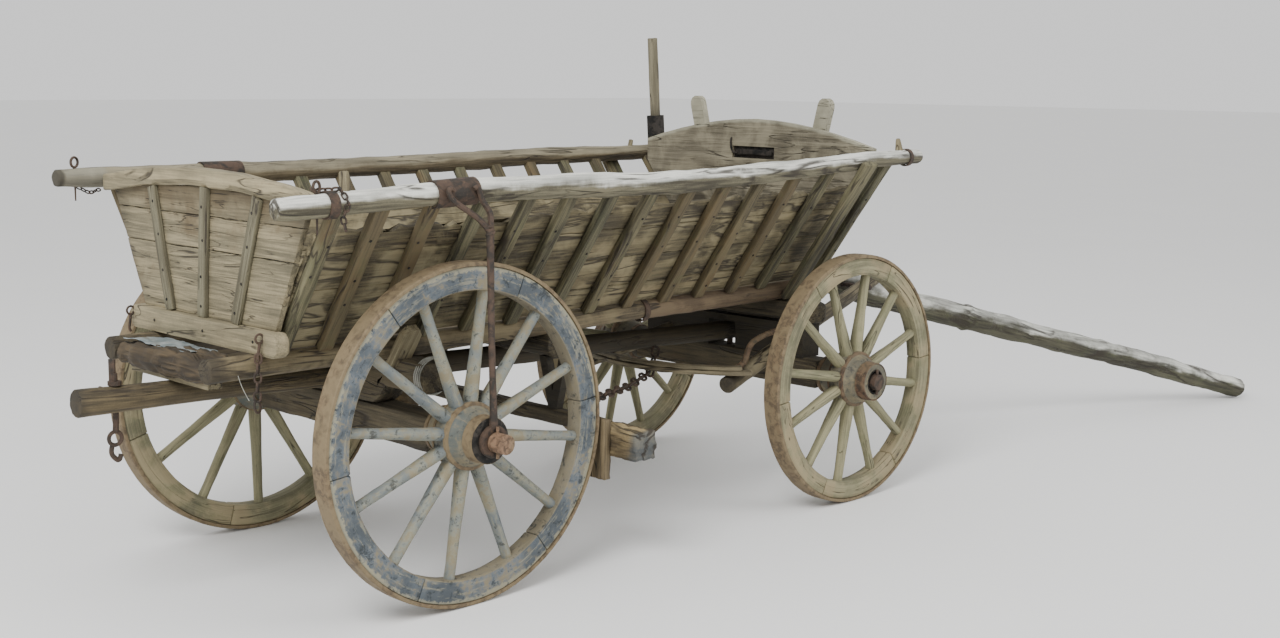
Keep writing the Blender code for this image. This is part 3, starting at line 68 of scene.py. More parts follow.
REAR_HUB = middle_of("rear_axle_iron")
FRONT_HUB = middle_of("front_axle_iron")
AXLE_X = REAR_HUB.x
SIDES = (("left", 1), ("right", -1))
RAIL_HALF_SPACING = 0.284
RAIL_HEIGHT = 0.7611
RAIL_SLOPE = math.radians(0.506)
LEAN = math.radians(35.7)
RAIL_RADIUS = 0.035
SEAT_GAP = 0.0003                   # left between timbers that bear on each other
STAKE_THICKNESS = 0.025
TAIL_X = -0.4955                    # face of the tailboard that the load leans on
TAIL_ARCH_TOP = 1.314
TAIL_ARCH_RISE = 0.046
TAIL_ARCH_HALF_WIDTH = 0.592
TAIL_ARCH_DEPTH = 0.054
TAIL_FOOT_Z, TAIL_FOOT_HALF_WIDTH = 0.866, 0.376
TAIL_SHOULDER_Z, TAIL_SHOULDER_HALF_WIDTH = 1.222, 0.552
TAIL_BATTENS = ((0.200, 0.293), (0.010, -0.024), (-0.177, -0.313))   # foot y, head y
WHEELBASE = FRONT_HUB.x - AXLE_X
REAR_RADIUS, FRONT_RADIUS = 0.525, 0.4715
REAR_HALF_TRACK, FRONT_HALF_TRACK = 0.594, 0.622
NAVE_HALF_LENGTH = 0.112
FRONT_HALF = (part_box("front_board")[1].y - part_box("front_board")[0].y) / 2
FRONT_ARCH_TOP = 1.431
FRONT_ARCH_RISE = 0.097
ARCH_POWER = 1.8                    # how the front board's arch falls off to its ends
BOLSTER_TOP = 0.7257


# Frames in which timbers are shaped

def spot(x, y, z):
    """Place given from the rear axle's middle on the ground."""
    return Vector((AXLE_X + x, y, z))


def shift(x, y, z):
    return Matrix.Translation(spot(x, y, z))


def turn(angle, axis):
    return Matrix.Rotation(angle, 4, axis)


def flank(side):
    """Frame of a ladder's plane: X forward, Y up the ladder."""
    lean = Euler((math.pi / 2 - side * LEAN, -RAIL_SLOPE, 0)).to_matrix().to_4x4()
    return shift(0, side * RAIL_HALF_SPACING, RAIL_HEIGHT) @ lean


def along_line(start, end, upward=(0, 0, 1)):
    """Frame at start with X towards end and Z as near to upward as it can be."""
    start, end = Vector(start), Vector(end)
    forward = (end - start).normalized()
    across = Vector(upward).cross(forward).normalized()
    up = forward.cross(across)
    return Matrix.Translation(start) @ Matrix((forward, across, up)).transposed().to_4x4()


def rail_height(x):
    return RAIL_HEIGHT + x * math.tan(RAIL_SLOPE)


def table_value(rows, x, column):
    """Value of one column of a table at x, with straight lines between its rows."""
    for low, high in zip(rows, rows[1:]):
        if x <= high[0]:
            break
    return low[column] + (high[column] - low[column]) * (x - low[0]) / (high[0] - low[0])


# Shader maths

BUMP_STRENGTH = 0.8
GRAIN_TURNS = {"X": (0, 0, 0), "Y": (0, 0, -math.pi / 2)}


class Sock:
    """Socket that takes part in expressions, each of which adds its Math nodes."""

    def __init__(self, finish, socket):
        self.finish, self.socket = finish, socket

    def math(self, operation, *others):
        return self.finish.node("ShaderNodeMath", {"operation": operation}, self, *others)

    def __add__(self, other):
        return self.math("ADD", other)

    def __radd__(self, other):
        return self.math("ADD", other)

    def __sub__(self, other):
        return self.math("SUBTRACT", other)

    def __rsub__(self, other):
        return self.finish.node("ShaderNodeMath", {"operation": "SUBTRACT"}, other, self)

    def __mul__(self, other):
        return self.math("MULTIPLY", other)

    def __rmul__(self, other):
        return self.math("MULTIPLY", other)

    def __truediv__(self, other):
        return self.math("DIVIDE", other)

    def __abs__(self):
        return self.math("ABSOLUTE")

    def step(self, low, high):
        """Smooth rise from 0 at low to 1 at high; falls instead where low is the larger."""
        settings = {"interpolation_type": "SMOOTHSTEP"}
        if low < high:
            return self.finish.node("ShaderNodeMapRange", settings, self, low, high, 0.0, 1.0)
        return self.finish.node("ShaderNodeMapRange", settings, self, high, low, 1.0, 0.0)


class Finish:
    """Material built from expressions."""
    deepening = (1.0, 1.0, 1.0)

    def __init__(self, name):
        self.material = bpy.data.materials.new(name)
        self.material.use_nodes = True
        self.tree = self.material.node_tree
        self.shader = self.tree.nodes["Principled BSDF"]
        self.place = self.node("ShaderNodeTexCoord", {}, out="Object")

    def feed(self, socket, value):
        """Give a socket its link or its value."""
        if isinstance(value, Sock):
            self.tree.links.new(value.socket, socket)
        else:
            socket.default_value = value

    def node(self, kind, settings, *inputs, out=0, **named):
        """Any node: its settings first, then its inputs in order or by name."""
        made = self.tree.nodes.new(kind)
        for key, value in settings.items():
            setattr(made, key, value)
        for socket, value in zip([s for s in made.inputs if s.enabled], inputs):
            self.feed(socket, value)
        for name, value in named.items():
            self.feed(made.inputs[name], value)
        if isinstance(out, str):
            return Sock(self, made.outputs[out])
        return Sock(self, [s for s in made.outputs if s.enabled][out])

    def stored(self, name, out):
        """What a piece stores at its points under a name."""
        return self.node("ShaderNodeAttribute", {"attribute_name": name}, out=out)

    def grain(self, axis=None):
        """Metres along and across the grain, as a piece stores them or turned to a node's axis."""
        if axis is None:
            return self.stored("grain", "Vector")
        return self.node("ShaderNodeMapping", {}, self.place, (0, 0, 0), GRAIN_TURNS[axis])

    def stretched(self, vector, x, y, z):
        return self.node("ShaderNodeVectorMath", {"operation": "MULTIPLY"}, vector, (x, y, z))

    def coordinate(self, axis):
        """One coordinate of the place, in metres."""
        return self.node("ShaderNodeSeparateXYZ", {}, self.place, out=axis)

    def noise(self, vector, detail=3.0, roughness=0.55, distortion=0.0, scale=1.0):
        return self.node("ShaderNodeTexNoise", {}, out="Fac", Vector=vector, Scale=scale,
                         Detail=detail, Roughness=roughness, Distortion=distortion)

    def blend(self, share, first, second):
        """Mix of two colours, of which plain ones are deepened."""
        def full(value):
            if isinstance(value, Sock):
                return value
            return (*(c ** power for c, power in zip(value, self.deepening)), 1.0)
        return self.node("ShaderNodeMix", {"data_type": "RGBA"}, share, full(first), full(second))

    def end(self, colour, roughness, metallic=0.0, height=None, depth=0.0):
        """Feed the shader; a height adds bump, with its depth in metres."""
        values = {"Base Color": colour, "Roughness": roughness, "Metallic": metallic}
        if height is not None:
            values["Normal"] = self.node("ShaderNodeBump", {}, out="Normal",
                                         Strength=BUMP_STRENGTH, Distance=depth, Height=height)
        for name, value in values.items():
            self.feed(self.shader.inputs[name], value)
        return self.material


def old_wood(name, pale, deep, crack=(0.045, 0.032, 0.022), stain=(0.20, 0.12, 0.06),
             stain_share=0.4, dust=None, moss=None, moss_share=0.35, top=None, soot=0.0,
             split_width=0.022, grain_axis=None, fine=1.0, depth=0.003, zones=(), arch=None,
             vary=None):
    """Bare weathered wood with fibres, drying cracks, stains, and what lies or grows on it.

    A zone is an axis, where it starts and is full along it, its colour and its strength. An arch
    is its top, rise, half width and the colour of its worn edge and of what stands above it. The
    colour in vary tints some pieces more than others.
    """
    f = Finish(name)
    grain = f.grain(grain_axis)
    fibre = f.noise(f.stretched(grain, 7, 260 * fine, 260 * fine), 2.0)
    streak = f.noise(f.stretched(grain, 2.2, 46 * fine, 46 * fine), 4.0, 0.62, 0.3)
    broad = f.noise(f.stretched(grain, 1.1, 7, 7), 3.0, 0.6, 0.4)
    patch = f.noise(f.place, 4.0, 0.6, 0.5, 6.0)
    drying = f.noise(f.stretched(grain, 1.6, 19 * fine, 19 * fine), 3.0, 0.55, 0.8)
    cracked = abs(drying - 0.5).step(split_width, 0.0) * patch.step(0.38, 0.55)
    speck = f.noise(f.place, 2.0, 0.6, 0.0, 240.0)
    tone = (streak * 0.5 + fibre * 0.32 + broad * 0.28 + speck * 0.12 - 0.11).step(0.37, 0.65)
    colour = f.blend(tone, deep, pale)
    colour = f.blend((broad * 0.5 + patch * 0.5).step(0.52, 0.66) * stain_share, colour, stain)
    if vary is not None:
        own = f.noise(f.stretched(grain, 0.15, 0.15, 0.15), 1.0)
        colour = f.blend(own.step(0.42, 0.58) * tone.math("MULTIPLY_ADD", 0.5, 0.3), colour, vary)
    if dust is not None:
        colour = f.blend(patch.step(0.42, 0.62) * 0.65, colour, dust)
    # Upward faces blend towards the top colour: real bleaching together with a painted highlight from the
    # light above.
    if top is not None:
        above = (f.stored("upward", "Fac") + (patch - 0.5) * 1.1 + (streak - 0.5) * 1.2).step(-0.12, 0.42)
        colour = f.blend(above, colour, f.blend(tone, [c * 0.56 for c in top], top))
    if moss is not None:
        growth = f.noise(f.place, 5.0, 0.65, 0.2, 17.0)
        colour = f.blend(growth.step(0.50, 0.68) * moss_share, colour, moss)
    for axis, start, full, tint, share in zones:
        along = f.coordinate(axis) + (patch - 0.5) * abs(full - start) * 2.5
        colour = f.blend(along.step(start, full) * share, colour, tint)
    if arch is not None:
        height, rise, half, tint = arch
        fallen = (abs(f.coordinate("Y")) * (1 / half)).math("POWER", ARCH_POWER) * rise
        level = f.coordinate("Z") + fallen + (patch - 0.5) * 0.016
        colour = f.blend(level.step(height - 0.018, height - 0.006) * 0.95, colour, tint)
    if soot:
        colour = f.blend((1 - patch.step(0.30, 0.62)) * soot, colour, crack)
    colour = f.blend(cracked * 0.9, colour, crack)
    height = streak * 0.5 + fibre * 0.22 + broad * 0.35 - cracked * 0.9
    return f.end(colour, tone * 0.1 + 0.78, 0.0, height, depth)


def old_paint(name, paint, paint_worn, bare, dust, crack=(0.05, 0.045, 0.04), wear=0.5,
              rim=None):
    """Old thin paint with scuffs down to the wood and dust lying on it.

    The rim of a wheel, given as its middle's x and z and the radii of its edges, is scuffed.
    """
    f = Finish(name)
    grain = f.grain()
    streak = f.noise(f.stretched(grain, 5, 60, 60), 4.0, 0.6)
    chips = f.noise(f.place, 6.0, 0.72, 0.4, 34.0)
    patch = f.noise(f.place, 4.0, 0.6, 0.4, 7.0)
    flecks = f.noise(f.stretched(grain, 30, 130, 130), 4.0, 0.7)
    colour = f.blend(patch.step(0.35, 0.65), paint, paint_worn)
    colour = f.blend((streak * 0.5 + flecks * 0.5).step(0.50, 0.62) * 0.55, colour, bare)
    colour = f.blend((patch * 0.4 + chips * 0.6).step(0.62 - wear * 0.2, 0.70 - wear * 0.12) * 0.85,
                     colour, dust)
    if rim is not None:
        x, z, inner, outer = rim
        flat = f.stretched(f.place, 1, 0, 1)
        away = f.node("ShaderNodeVectorMath", {"operation": "DISTANCE"}, flat, (x, 0, z))
        rough = away + (chips - 0.5) * 0.06 + (patch - 0.5) * 0.03
        colour = f.blend(rough.step(outer - 0.016, outer - 0.008) * 0.75, colour, bare)
        colour = f.blend(away.step(inner + 0.0055, inner + 0.002) * 0.7, colour, dust)
    colour = f.blend(chips.step(0.46, 0.35) * 0.8, colour, crack)
    height = chips * 0.5 + streak * 0.35 + flecks * 0.2
    return f.end(colour, patch * 0.15 + 0.66, 0.0, height, 0.0016)


def old_iron(name, rust=(0.20, 0.105, 0.06), scale=(0.085, 0.055, 0.042), bright=(0.34, 0.20, 0.12),
             dust=None, dust_share=0.6, size=30.0, metallic=0.25):
    """Pitted iron under layers of rust, with dust in the low places."""
    f = Finish(name)
    pits = f.noise(f.place, 6.0, 0.7, 0.3, size * 4)
    cloud = f.noise(f.place, 4.0, 0.6, 0.6, size)
    broad = f.noise(f.place, 3.0, 0.5, 0.3, size / 4)
    colour = f.blend(cloud.step(0.36, 0.60), scale, rust)
    colour = f.blend(pits.step(0.56, 0.68) * 0.6, colour, bright)
    if dust is not None:
        colour = f.blend((broad * 0.6 + cloud * 0.4).step(0.40, 0.56) * dust_share, colour, dust)
    height = pits * 0.5 + cloud * 0.6
    return f.end(colour, cloud * 0.2 + 0.66, metallic * (1 - cloud.step(0.40, 0.62)),
                 height, 0.0012)


def galvanised_sheet(name):
    """Thin blue-grey metal sheet with dull spangle, dents and dirt."""
    f = Finish(name)
    cloud = f.noise(f.place, 4.0, 0.6, 0.5, 22.0)
    dirt = f.noise(f.place, 5.0, 0.65, 0.2, 9.0)
    colour = f.blend(cloud.step(0.35, 0.65), (0.30, 0.35, 0.38), (0.52, 0.56, 0.58))
    colour = f.blend(dirt.step(0.52, 0.70) * 0.7, colour, (0.25, 0.20, 0.14))
    return f.end(colour, cloud * 0.25 + 0.38, 0.55, cloud * 0.6 + dirt * 0.5, 0.003)


# Modelling by hand

def fresh():
    """Leave edit mode and select nothing."""
    if bpy.context.mode != "OBJECT":
        bpy.ops.object.mode_set(mode="OBJECT")
    bpy.ops.object.select_all(action="DESELECT")


def activate(*items):
    fresh()
    for item in items:
        item.select_set(True)
    bpy.context.view_layer.objects.active = items[0]
    return items[0]


def pick(item, kind, test):
    """Go to edit mode with only the points, edges or faces selected that pass the test."""
    activate(item)
    bpy.ops.object.mode_set(mode="EDIT")
    bpy.ops.mesh.select_mode(type=kind)
    bpy.ops.mesh.select_all(action="DESELECT")
    work = bmesh.from_edit_mesh(item.data)
    found = {"VERT": work.verts, "EDGE": work.edges, "FACE": work.faces}[kind]
    for element in found:
        element.select_set(test(element))
    work.select_flush_mode()
    bmesh.update_edit_mesh(item.data)


def close_mesh(item, weld=0.00002):
    """Merge doubles and point every face outwards."""
    pick(item, "VERT", lambda point: True)
    bpy.ops.mesh.remove_doubles(threshold=weld)
    bpy.ops.mesh.normals_make_consistent(inside=False)
    fresh()
    return item


def modify(item, kind, **settings):
    """Add a modifier and apply it at once."""
    activate(item)
    step = item.modifiers.new(kind.lower(), kind)
    for key, value in settings.items():
        setattr(step, key, value)
    bpy.ops.object.modifier_apply(modifier=step.name)
    return item


def soften(item, width, angle=50):
    """Round off the edges that are sharper than an angle in degrees."""
    return modify(item, "BEVEL", width=width, segments=2, limit_method="ANGLE",
                  angle_limit=math.radians(angle))


def joined(items):
    """One object out of several."""
    if len(items) > 1:
        activate(*items)
        bpy.ops.object.join()
    return items[0]


def put(item, matrix):
    """Move a piece that was shaped about the origin to its place, with the place in its mesh."""
    activate(item)
    item.matrix_world = matrix @ item.matrix_world
    bpy.ops.object.transform_apply(location=True, rotation=True, scale=True)
    return item


def twin(item, matrix):
    """Copy of a piece with a mesh of its own, put in its place."""
    made = item.copy()
    made.data = item.data.copy()
    bpy.context.scene.collection.objects.link(made)
    return put(made, matrix)


def mark_grain(item, rng, reading=None):
    """Store each point's place along and across the grain, in metres, from a start of its own."""
    start = Vector((rng.uniform(0, 40), rng.uniform(0, 40), rng.uniform(0, 40)))
    values = []
    for point in item.data.vertices:
        values.extend((reading(point.co) if reading else point.co) + start)
    held = item.data.attributes.get("grain") or item.data.attributes.new(
        "grain", "FLOAT_VECTOR", "POINT")
    held.data.foreach_set("vector", values)
    return item


def cloud_texture(size, depth=2):
    name = f"wear_{size:.4f}_{depth}"
    made = bpy.data.textures.get(name)
    if made is None:
        made = bpy.data.textures.new(name, "CLOUDS")
        made.noise_scale = size
        made.noise_depth = depth
    return made


def weather(item, place, wave=0.0, furrow=0.0, wave_size=0.11, furrow_size=0.013, stretch=14.0):
    """Wear a timber: slow waves all over it, and furrows that run along its grain."""
    if wave:
        modify(item, "DISPLACE", texture=cloud_texture(wave_size), strength=wave, mid_level=0.5)
    if furrow:
        fresh()
        bpy.ops.object.empty_add()
        guide = bpy.context.object
        guide.matrix_world = place @ Matrix.Diagonal((stretch, 1, 1, 1))
        bpy.context.view_layer.update()
        modify(item, "DISPLACE", texture=cloud_texture(furrow_size), strength=furrow,
               mid_level=0.5, texture_coords="OBJECT", texture_coords_object=guide)
        bpy.data.objects.remove(guide)
    return item


def seat(item, rng, place, *wear, inner=None):
    """Mark a shaped timber's grain, put it in its place, or inside that frame, and wear it."""
    mark_grain(item, rng)
    put(item, place if inner is None else place @ inner)
    return weather(item, place, *wear)


def cut_along(item, axis, cuts):
    """Divide the edges that run along an axis."""
    if cuts > 0:
        pick(item, "EDGE", lambda edge: abs(
            (edge.verts[0].co - edge.verts[1].co).normalized()[axis]) > 0.9)
        bpy.ops.mesh.subdivide(number_cuts=cuts)
        fresh()


def timber(length, width, thickness, along=12, across=2, edge=0.004, through=0):
    """Sawn timber about the origin, long in X, with worn corners."""
    fresh()
    bpy.ops.mesh.primitive_cube_add(size=1)
    made = bpy.context.object
    bpy.ops.transform.resize(value=(length, width, thickness))
    bpy.ops.object.transform_apply(location=True, rotation=True, scale=True)
    cut_along(made, 0, along)
    cut_along(made, 1, across)
    cut_along(made, 2, through)
    return soften(made, edge) if edge else made


def reshape(item, change, chosen=lambda point: True):
    """Move each slice of a timber, or its chosen points, sideways and up by what change(x) says."""
    places = sorted({round(point.co.x, 4) for point in item.data.vertices})
    for x in places:
        pick(item, "VERT", lambda point, x=x: abs(point.co.x - x) < 0.0001 and chosen(point))
        bpy.ops.transform.translate(value=(0, *change(x)))
    fresh()
    return item


def grown(stations, sides=20):
    """Round timber along X, grown station by station: x, y, z, radius."""
    fresh()
    x, y, z, radius = stations[0]
    bpy.ops.mesh.primitive_circle_add(vertices=sides, radius=radius, fill_type="NGON",
                                      location=(x, y, z), rotation=(0, math.pi / 2, 0))
    made = bpy.context.object
    bpy.ops.object.mode_set(mode="EDIT")
    bpy.ops.mesh.select_all(action="SELECT")
    for before, after in zip(stations, stations[1:]):
        move = [b - a for a, b in zip(before[:3], after[:3])]
        bpy.ops.mesh.extrude_region_move(TRANSFORM_OT_translate={"value": move})
        share = after[3] / before[3]
        bpy.ops.transform.resize(value=(share, share, share), center_override=after[:3])
    fresh()
    bpy.ops.object.select_all(action="DESELECT")
    activate(made)
    bpy.ops.object.transform_apply(location=True, rotation=True, scale=True)
    return close_mesh(made)


def pole_stations(rows, rng, step=0.05, wobble=0.003, swell=0.05, knots=0, cut=0.006):
    """Stations of a natural pole through rows of (x, y, z, radius), with its ends sawn and worn."""
    first, last = rows[0][0], rows[-1][0]
    count = max(4, round((last - first) / step))
    places = [first + (last - first) * i / count for i in range(count + 1)]
    waves = [(rng.uniform(2, 9), rng.uniform(0, 6), rng.uniform(0, 6)) for _ in range(3)]
    bumps = [(rng.uniform(first, last), rng.uniform(0.02, 0.05)) for _ in range(knots)]
    made = []
    for x in places:
        y, z, radius = (table_value(rows, x, column) for column in (1, 2, 3))
        for pace, a, b in waves:
            y += wobble / 3 * math.sin(pace * x + a)
            z += wobble / 3 * math.cos(pace * 0.8 * x + b)
            radius *= 1 + swell / 3 * math.sin(pace * 1.7 * x + a + b)
        for middle, reach in bumps:
            radius *= 1 + 0.07 * math.exp(-((x - middle) / reach) ** 2)
        made.append([x, y, z, radius])
    head, tail = made[0], made[-1]
    made[0] = [head[0] + cut, *head[1:]]
    made[-1] = [tail[0] - cut, *tail[1:]]
    made.insert(0, [first + cut * 0.3, head[1], head[2], head[3] * 0.95])
    made.insert(0, [first, head[1], head[2], head[3] * 0.84])
    made.append([last - cut * 0.3, tail[1], tail[2], tail[3] * 0.95])
    made.append([last, tail[1], tail[2], tail[3] * 0.84])
    return made


def turned(profile, steps=48, closed=True):
    """Turned ring about Z from a closed profile of (radius, height) points."""
    fresh()
    radius, height = profile[0]
    bpy.ops.mesh.primitive_circle_add(vertices=steps, radius=radius, fill_type="NOTHING",
                                      location=(0, 0, height))
    made = bpy.context.object
    bpy.ops.object.transform_apply(location=True, rotation=True, scale=True)
    bpy.ops.object.mode_set(mode="EDIT")
    bpy.ops.mesh.select_mode(type="EDGE")
    bpy.ops.mesh.select_all(action="SELECT")
    rows = profile[1:] + ([profile[0]] if closed else [])
    last = profile[0]
    for row in rows:
        bpy.ops.mesh.extrude_region_move(
            TRANSFORM_OT_translate={"value": (0, 0, row[1] - last[1])})
        share = row[0] / last[0]
        bpy.ops.transform.resize(value=(share, share, 1), center_override=(0, 0, row[1]))
        last = row
    fresh()
    return close_mesh(made)


def spun(depth, width, radius, start, angle, steps):
    """Solid arc about Z: a rectangle of depth by width spun through an angle."""
    fresh()
    bpy.ops.mesh.primitive_plane_add(size=1)
    made = bpy.context.object
    bpy.ops.transform.resize(value=(depth, width, 1))
    bpy.ops.object.transform_apply(location=True, rotation=True, scale=True)
    put(made, turn(start + angle, "Z") @ Matrix.Translation((radius, 0, 0))
        @ turn(math.pi / 2, "X"))
    pick(made, "FACE", lambda face: True)
    bpy.ops.mesh.spin(steps=steps, angle=angle, center=(0, 0, 0), axis=(0, 0, 1))
    fresh()
    return close_mesh(made)


def bar(points, radius, sides=10, order=3, taper=None):
    """Bent round bar through points; taper gives a share of the radius at each of them."""
    fresh()
    bpy.ops.curve.primitive_nurbs_path_add()
    made = bpy.context.object
    curve = made.data
    curve.splines.clear()
    spline = curve.splines.new("NURBS")
    spline.points.add(len(points) - 1)
    for index, point in enumerate(points):
        spline.points[index].co = (*point, 1.0)
        spline.points[index].radius = taper[index] if taper else 1.0
    spline.order_u = min(order, len(points))
    spline.use_endpoint_u = True
    spline.resolution_u = 6
    curve.dimensions = "3D"
    curve.bevel_depth = radius
    curve.bevel_resolution = max(0, sides // 4)
    curve.use_fill_caps = True
    made.matrix_world = Matrix.Identity(4)
    activate(made)
    bpy.ops.object.convert(target="MESH")
    return close_mesh(bpy.context.object)


def eye(radius, wire, place, sides=8, steps=20):
    """Round ring of bar, its hole along the frame's Z."""
    fresh()
    bpy.ops.mesh.primitive_torus_add(major_radius=radius, minor_radius=wire,
                                     major_segments=steps, minor_segments=sides)
    return put(bpy.context.object, place)


def link_model(length, wire):
    """Oval chain link, long in X, made from a ring pulled apart."""
    radius = length * 0.32 - wire * 0.5
    made = eye(radius, wire, Matrix.Identity(4), 8, 16)
    pull = length / 2 - radius - wire
    for side in (1, -1):
        pick(made, "VERT", lambda point, side=side: point.co.x * side > 0.0001)
        bpy.ops.transform.translate(value=(side * pull, 0, 0))
    fresh()
    return made


def chain(points, length, wire):
    """Chain whose links follow straight stretches between points."""
    model = link_model(length, wire)
    pitch = length - 2 * wire * 1.15
    made, roll, carry = [], 0, 0.0
    for start, end in zip(points, points[1:]):
        start, end = Vector(start), Vector(end)
        span = (end - start).length
        way = (end - start).normalized()
        upward = (0, 1, 0) if abs(way.z) > 0.9 else (0, 0, 1)
        while carry <= span:
            place = along_line(start + way * carry, start + way * (carry + 0.01), upward)
            made.append(twin(model, place @ turn(math.radians(45 + 90 * (roll % 2)), "X")))
            roll += 1
            carry += pitch
        carry -= span
    bpy.data.objects.remove(model)
    return joined(made)


def nail_heads(places, radius=0.005, height=0.0025):
    """Hammered nail heads, each on a frame whose Z stands off the wood."""
    fresh()
    bpy.ops.mesh.primitive_cylinder_add(vertices=8, radius=radius, depth=height)
    model = bpy.context.object
    modify(model, "BEVEL", width=height * 0.45, segments=1, limit_method="ANGLE")
    made = [twin(model, place) for place in places]
    bpy.data.objects.remove(model)
    return joined(made)


FINISHES = {}
SMOOTH_ANGLE = math.radians(40)


def settle(item, name, body, slot, finish, *nodes):
    """Name a finished piece, give it its finish and let it ride on its body."""
    activate(item)
    item.name = name
    item.data.name = name
    # How far each point faces up; the top colours use it for bleaching together with a painted highlight
    # on upper faces.
    upward = item.data.attributes.new("upward", "FLOAT", "POINT")
    upward.data.foreach_set("value", [point.normal.z for point in item.data.vertices])
    item.data.materials.clear()
    item.data.materials.append(FINISHES[finish])
    bpy.ops.object.shade_smooth_by_angle(angle=SMOOTH_ANGLE)
    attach(item, body)
    if nodes:
        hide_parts(*nodes)
    return item


# Finishes of this cart

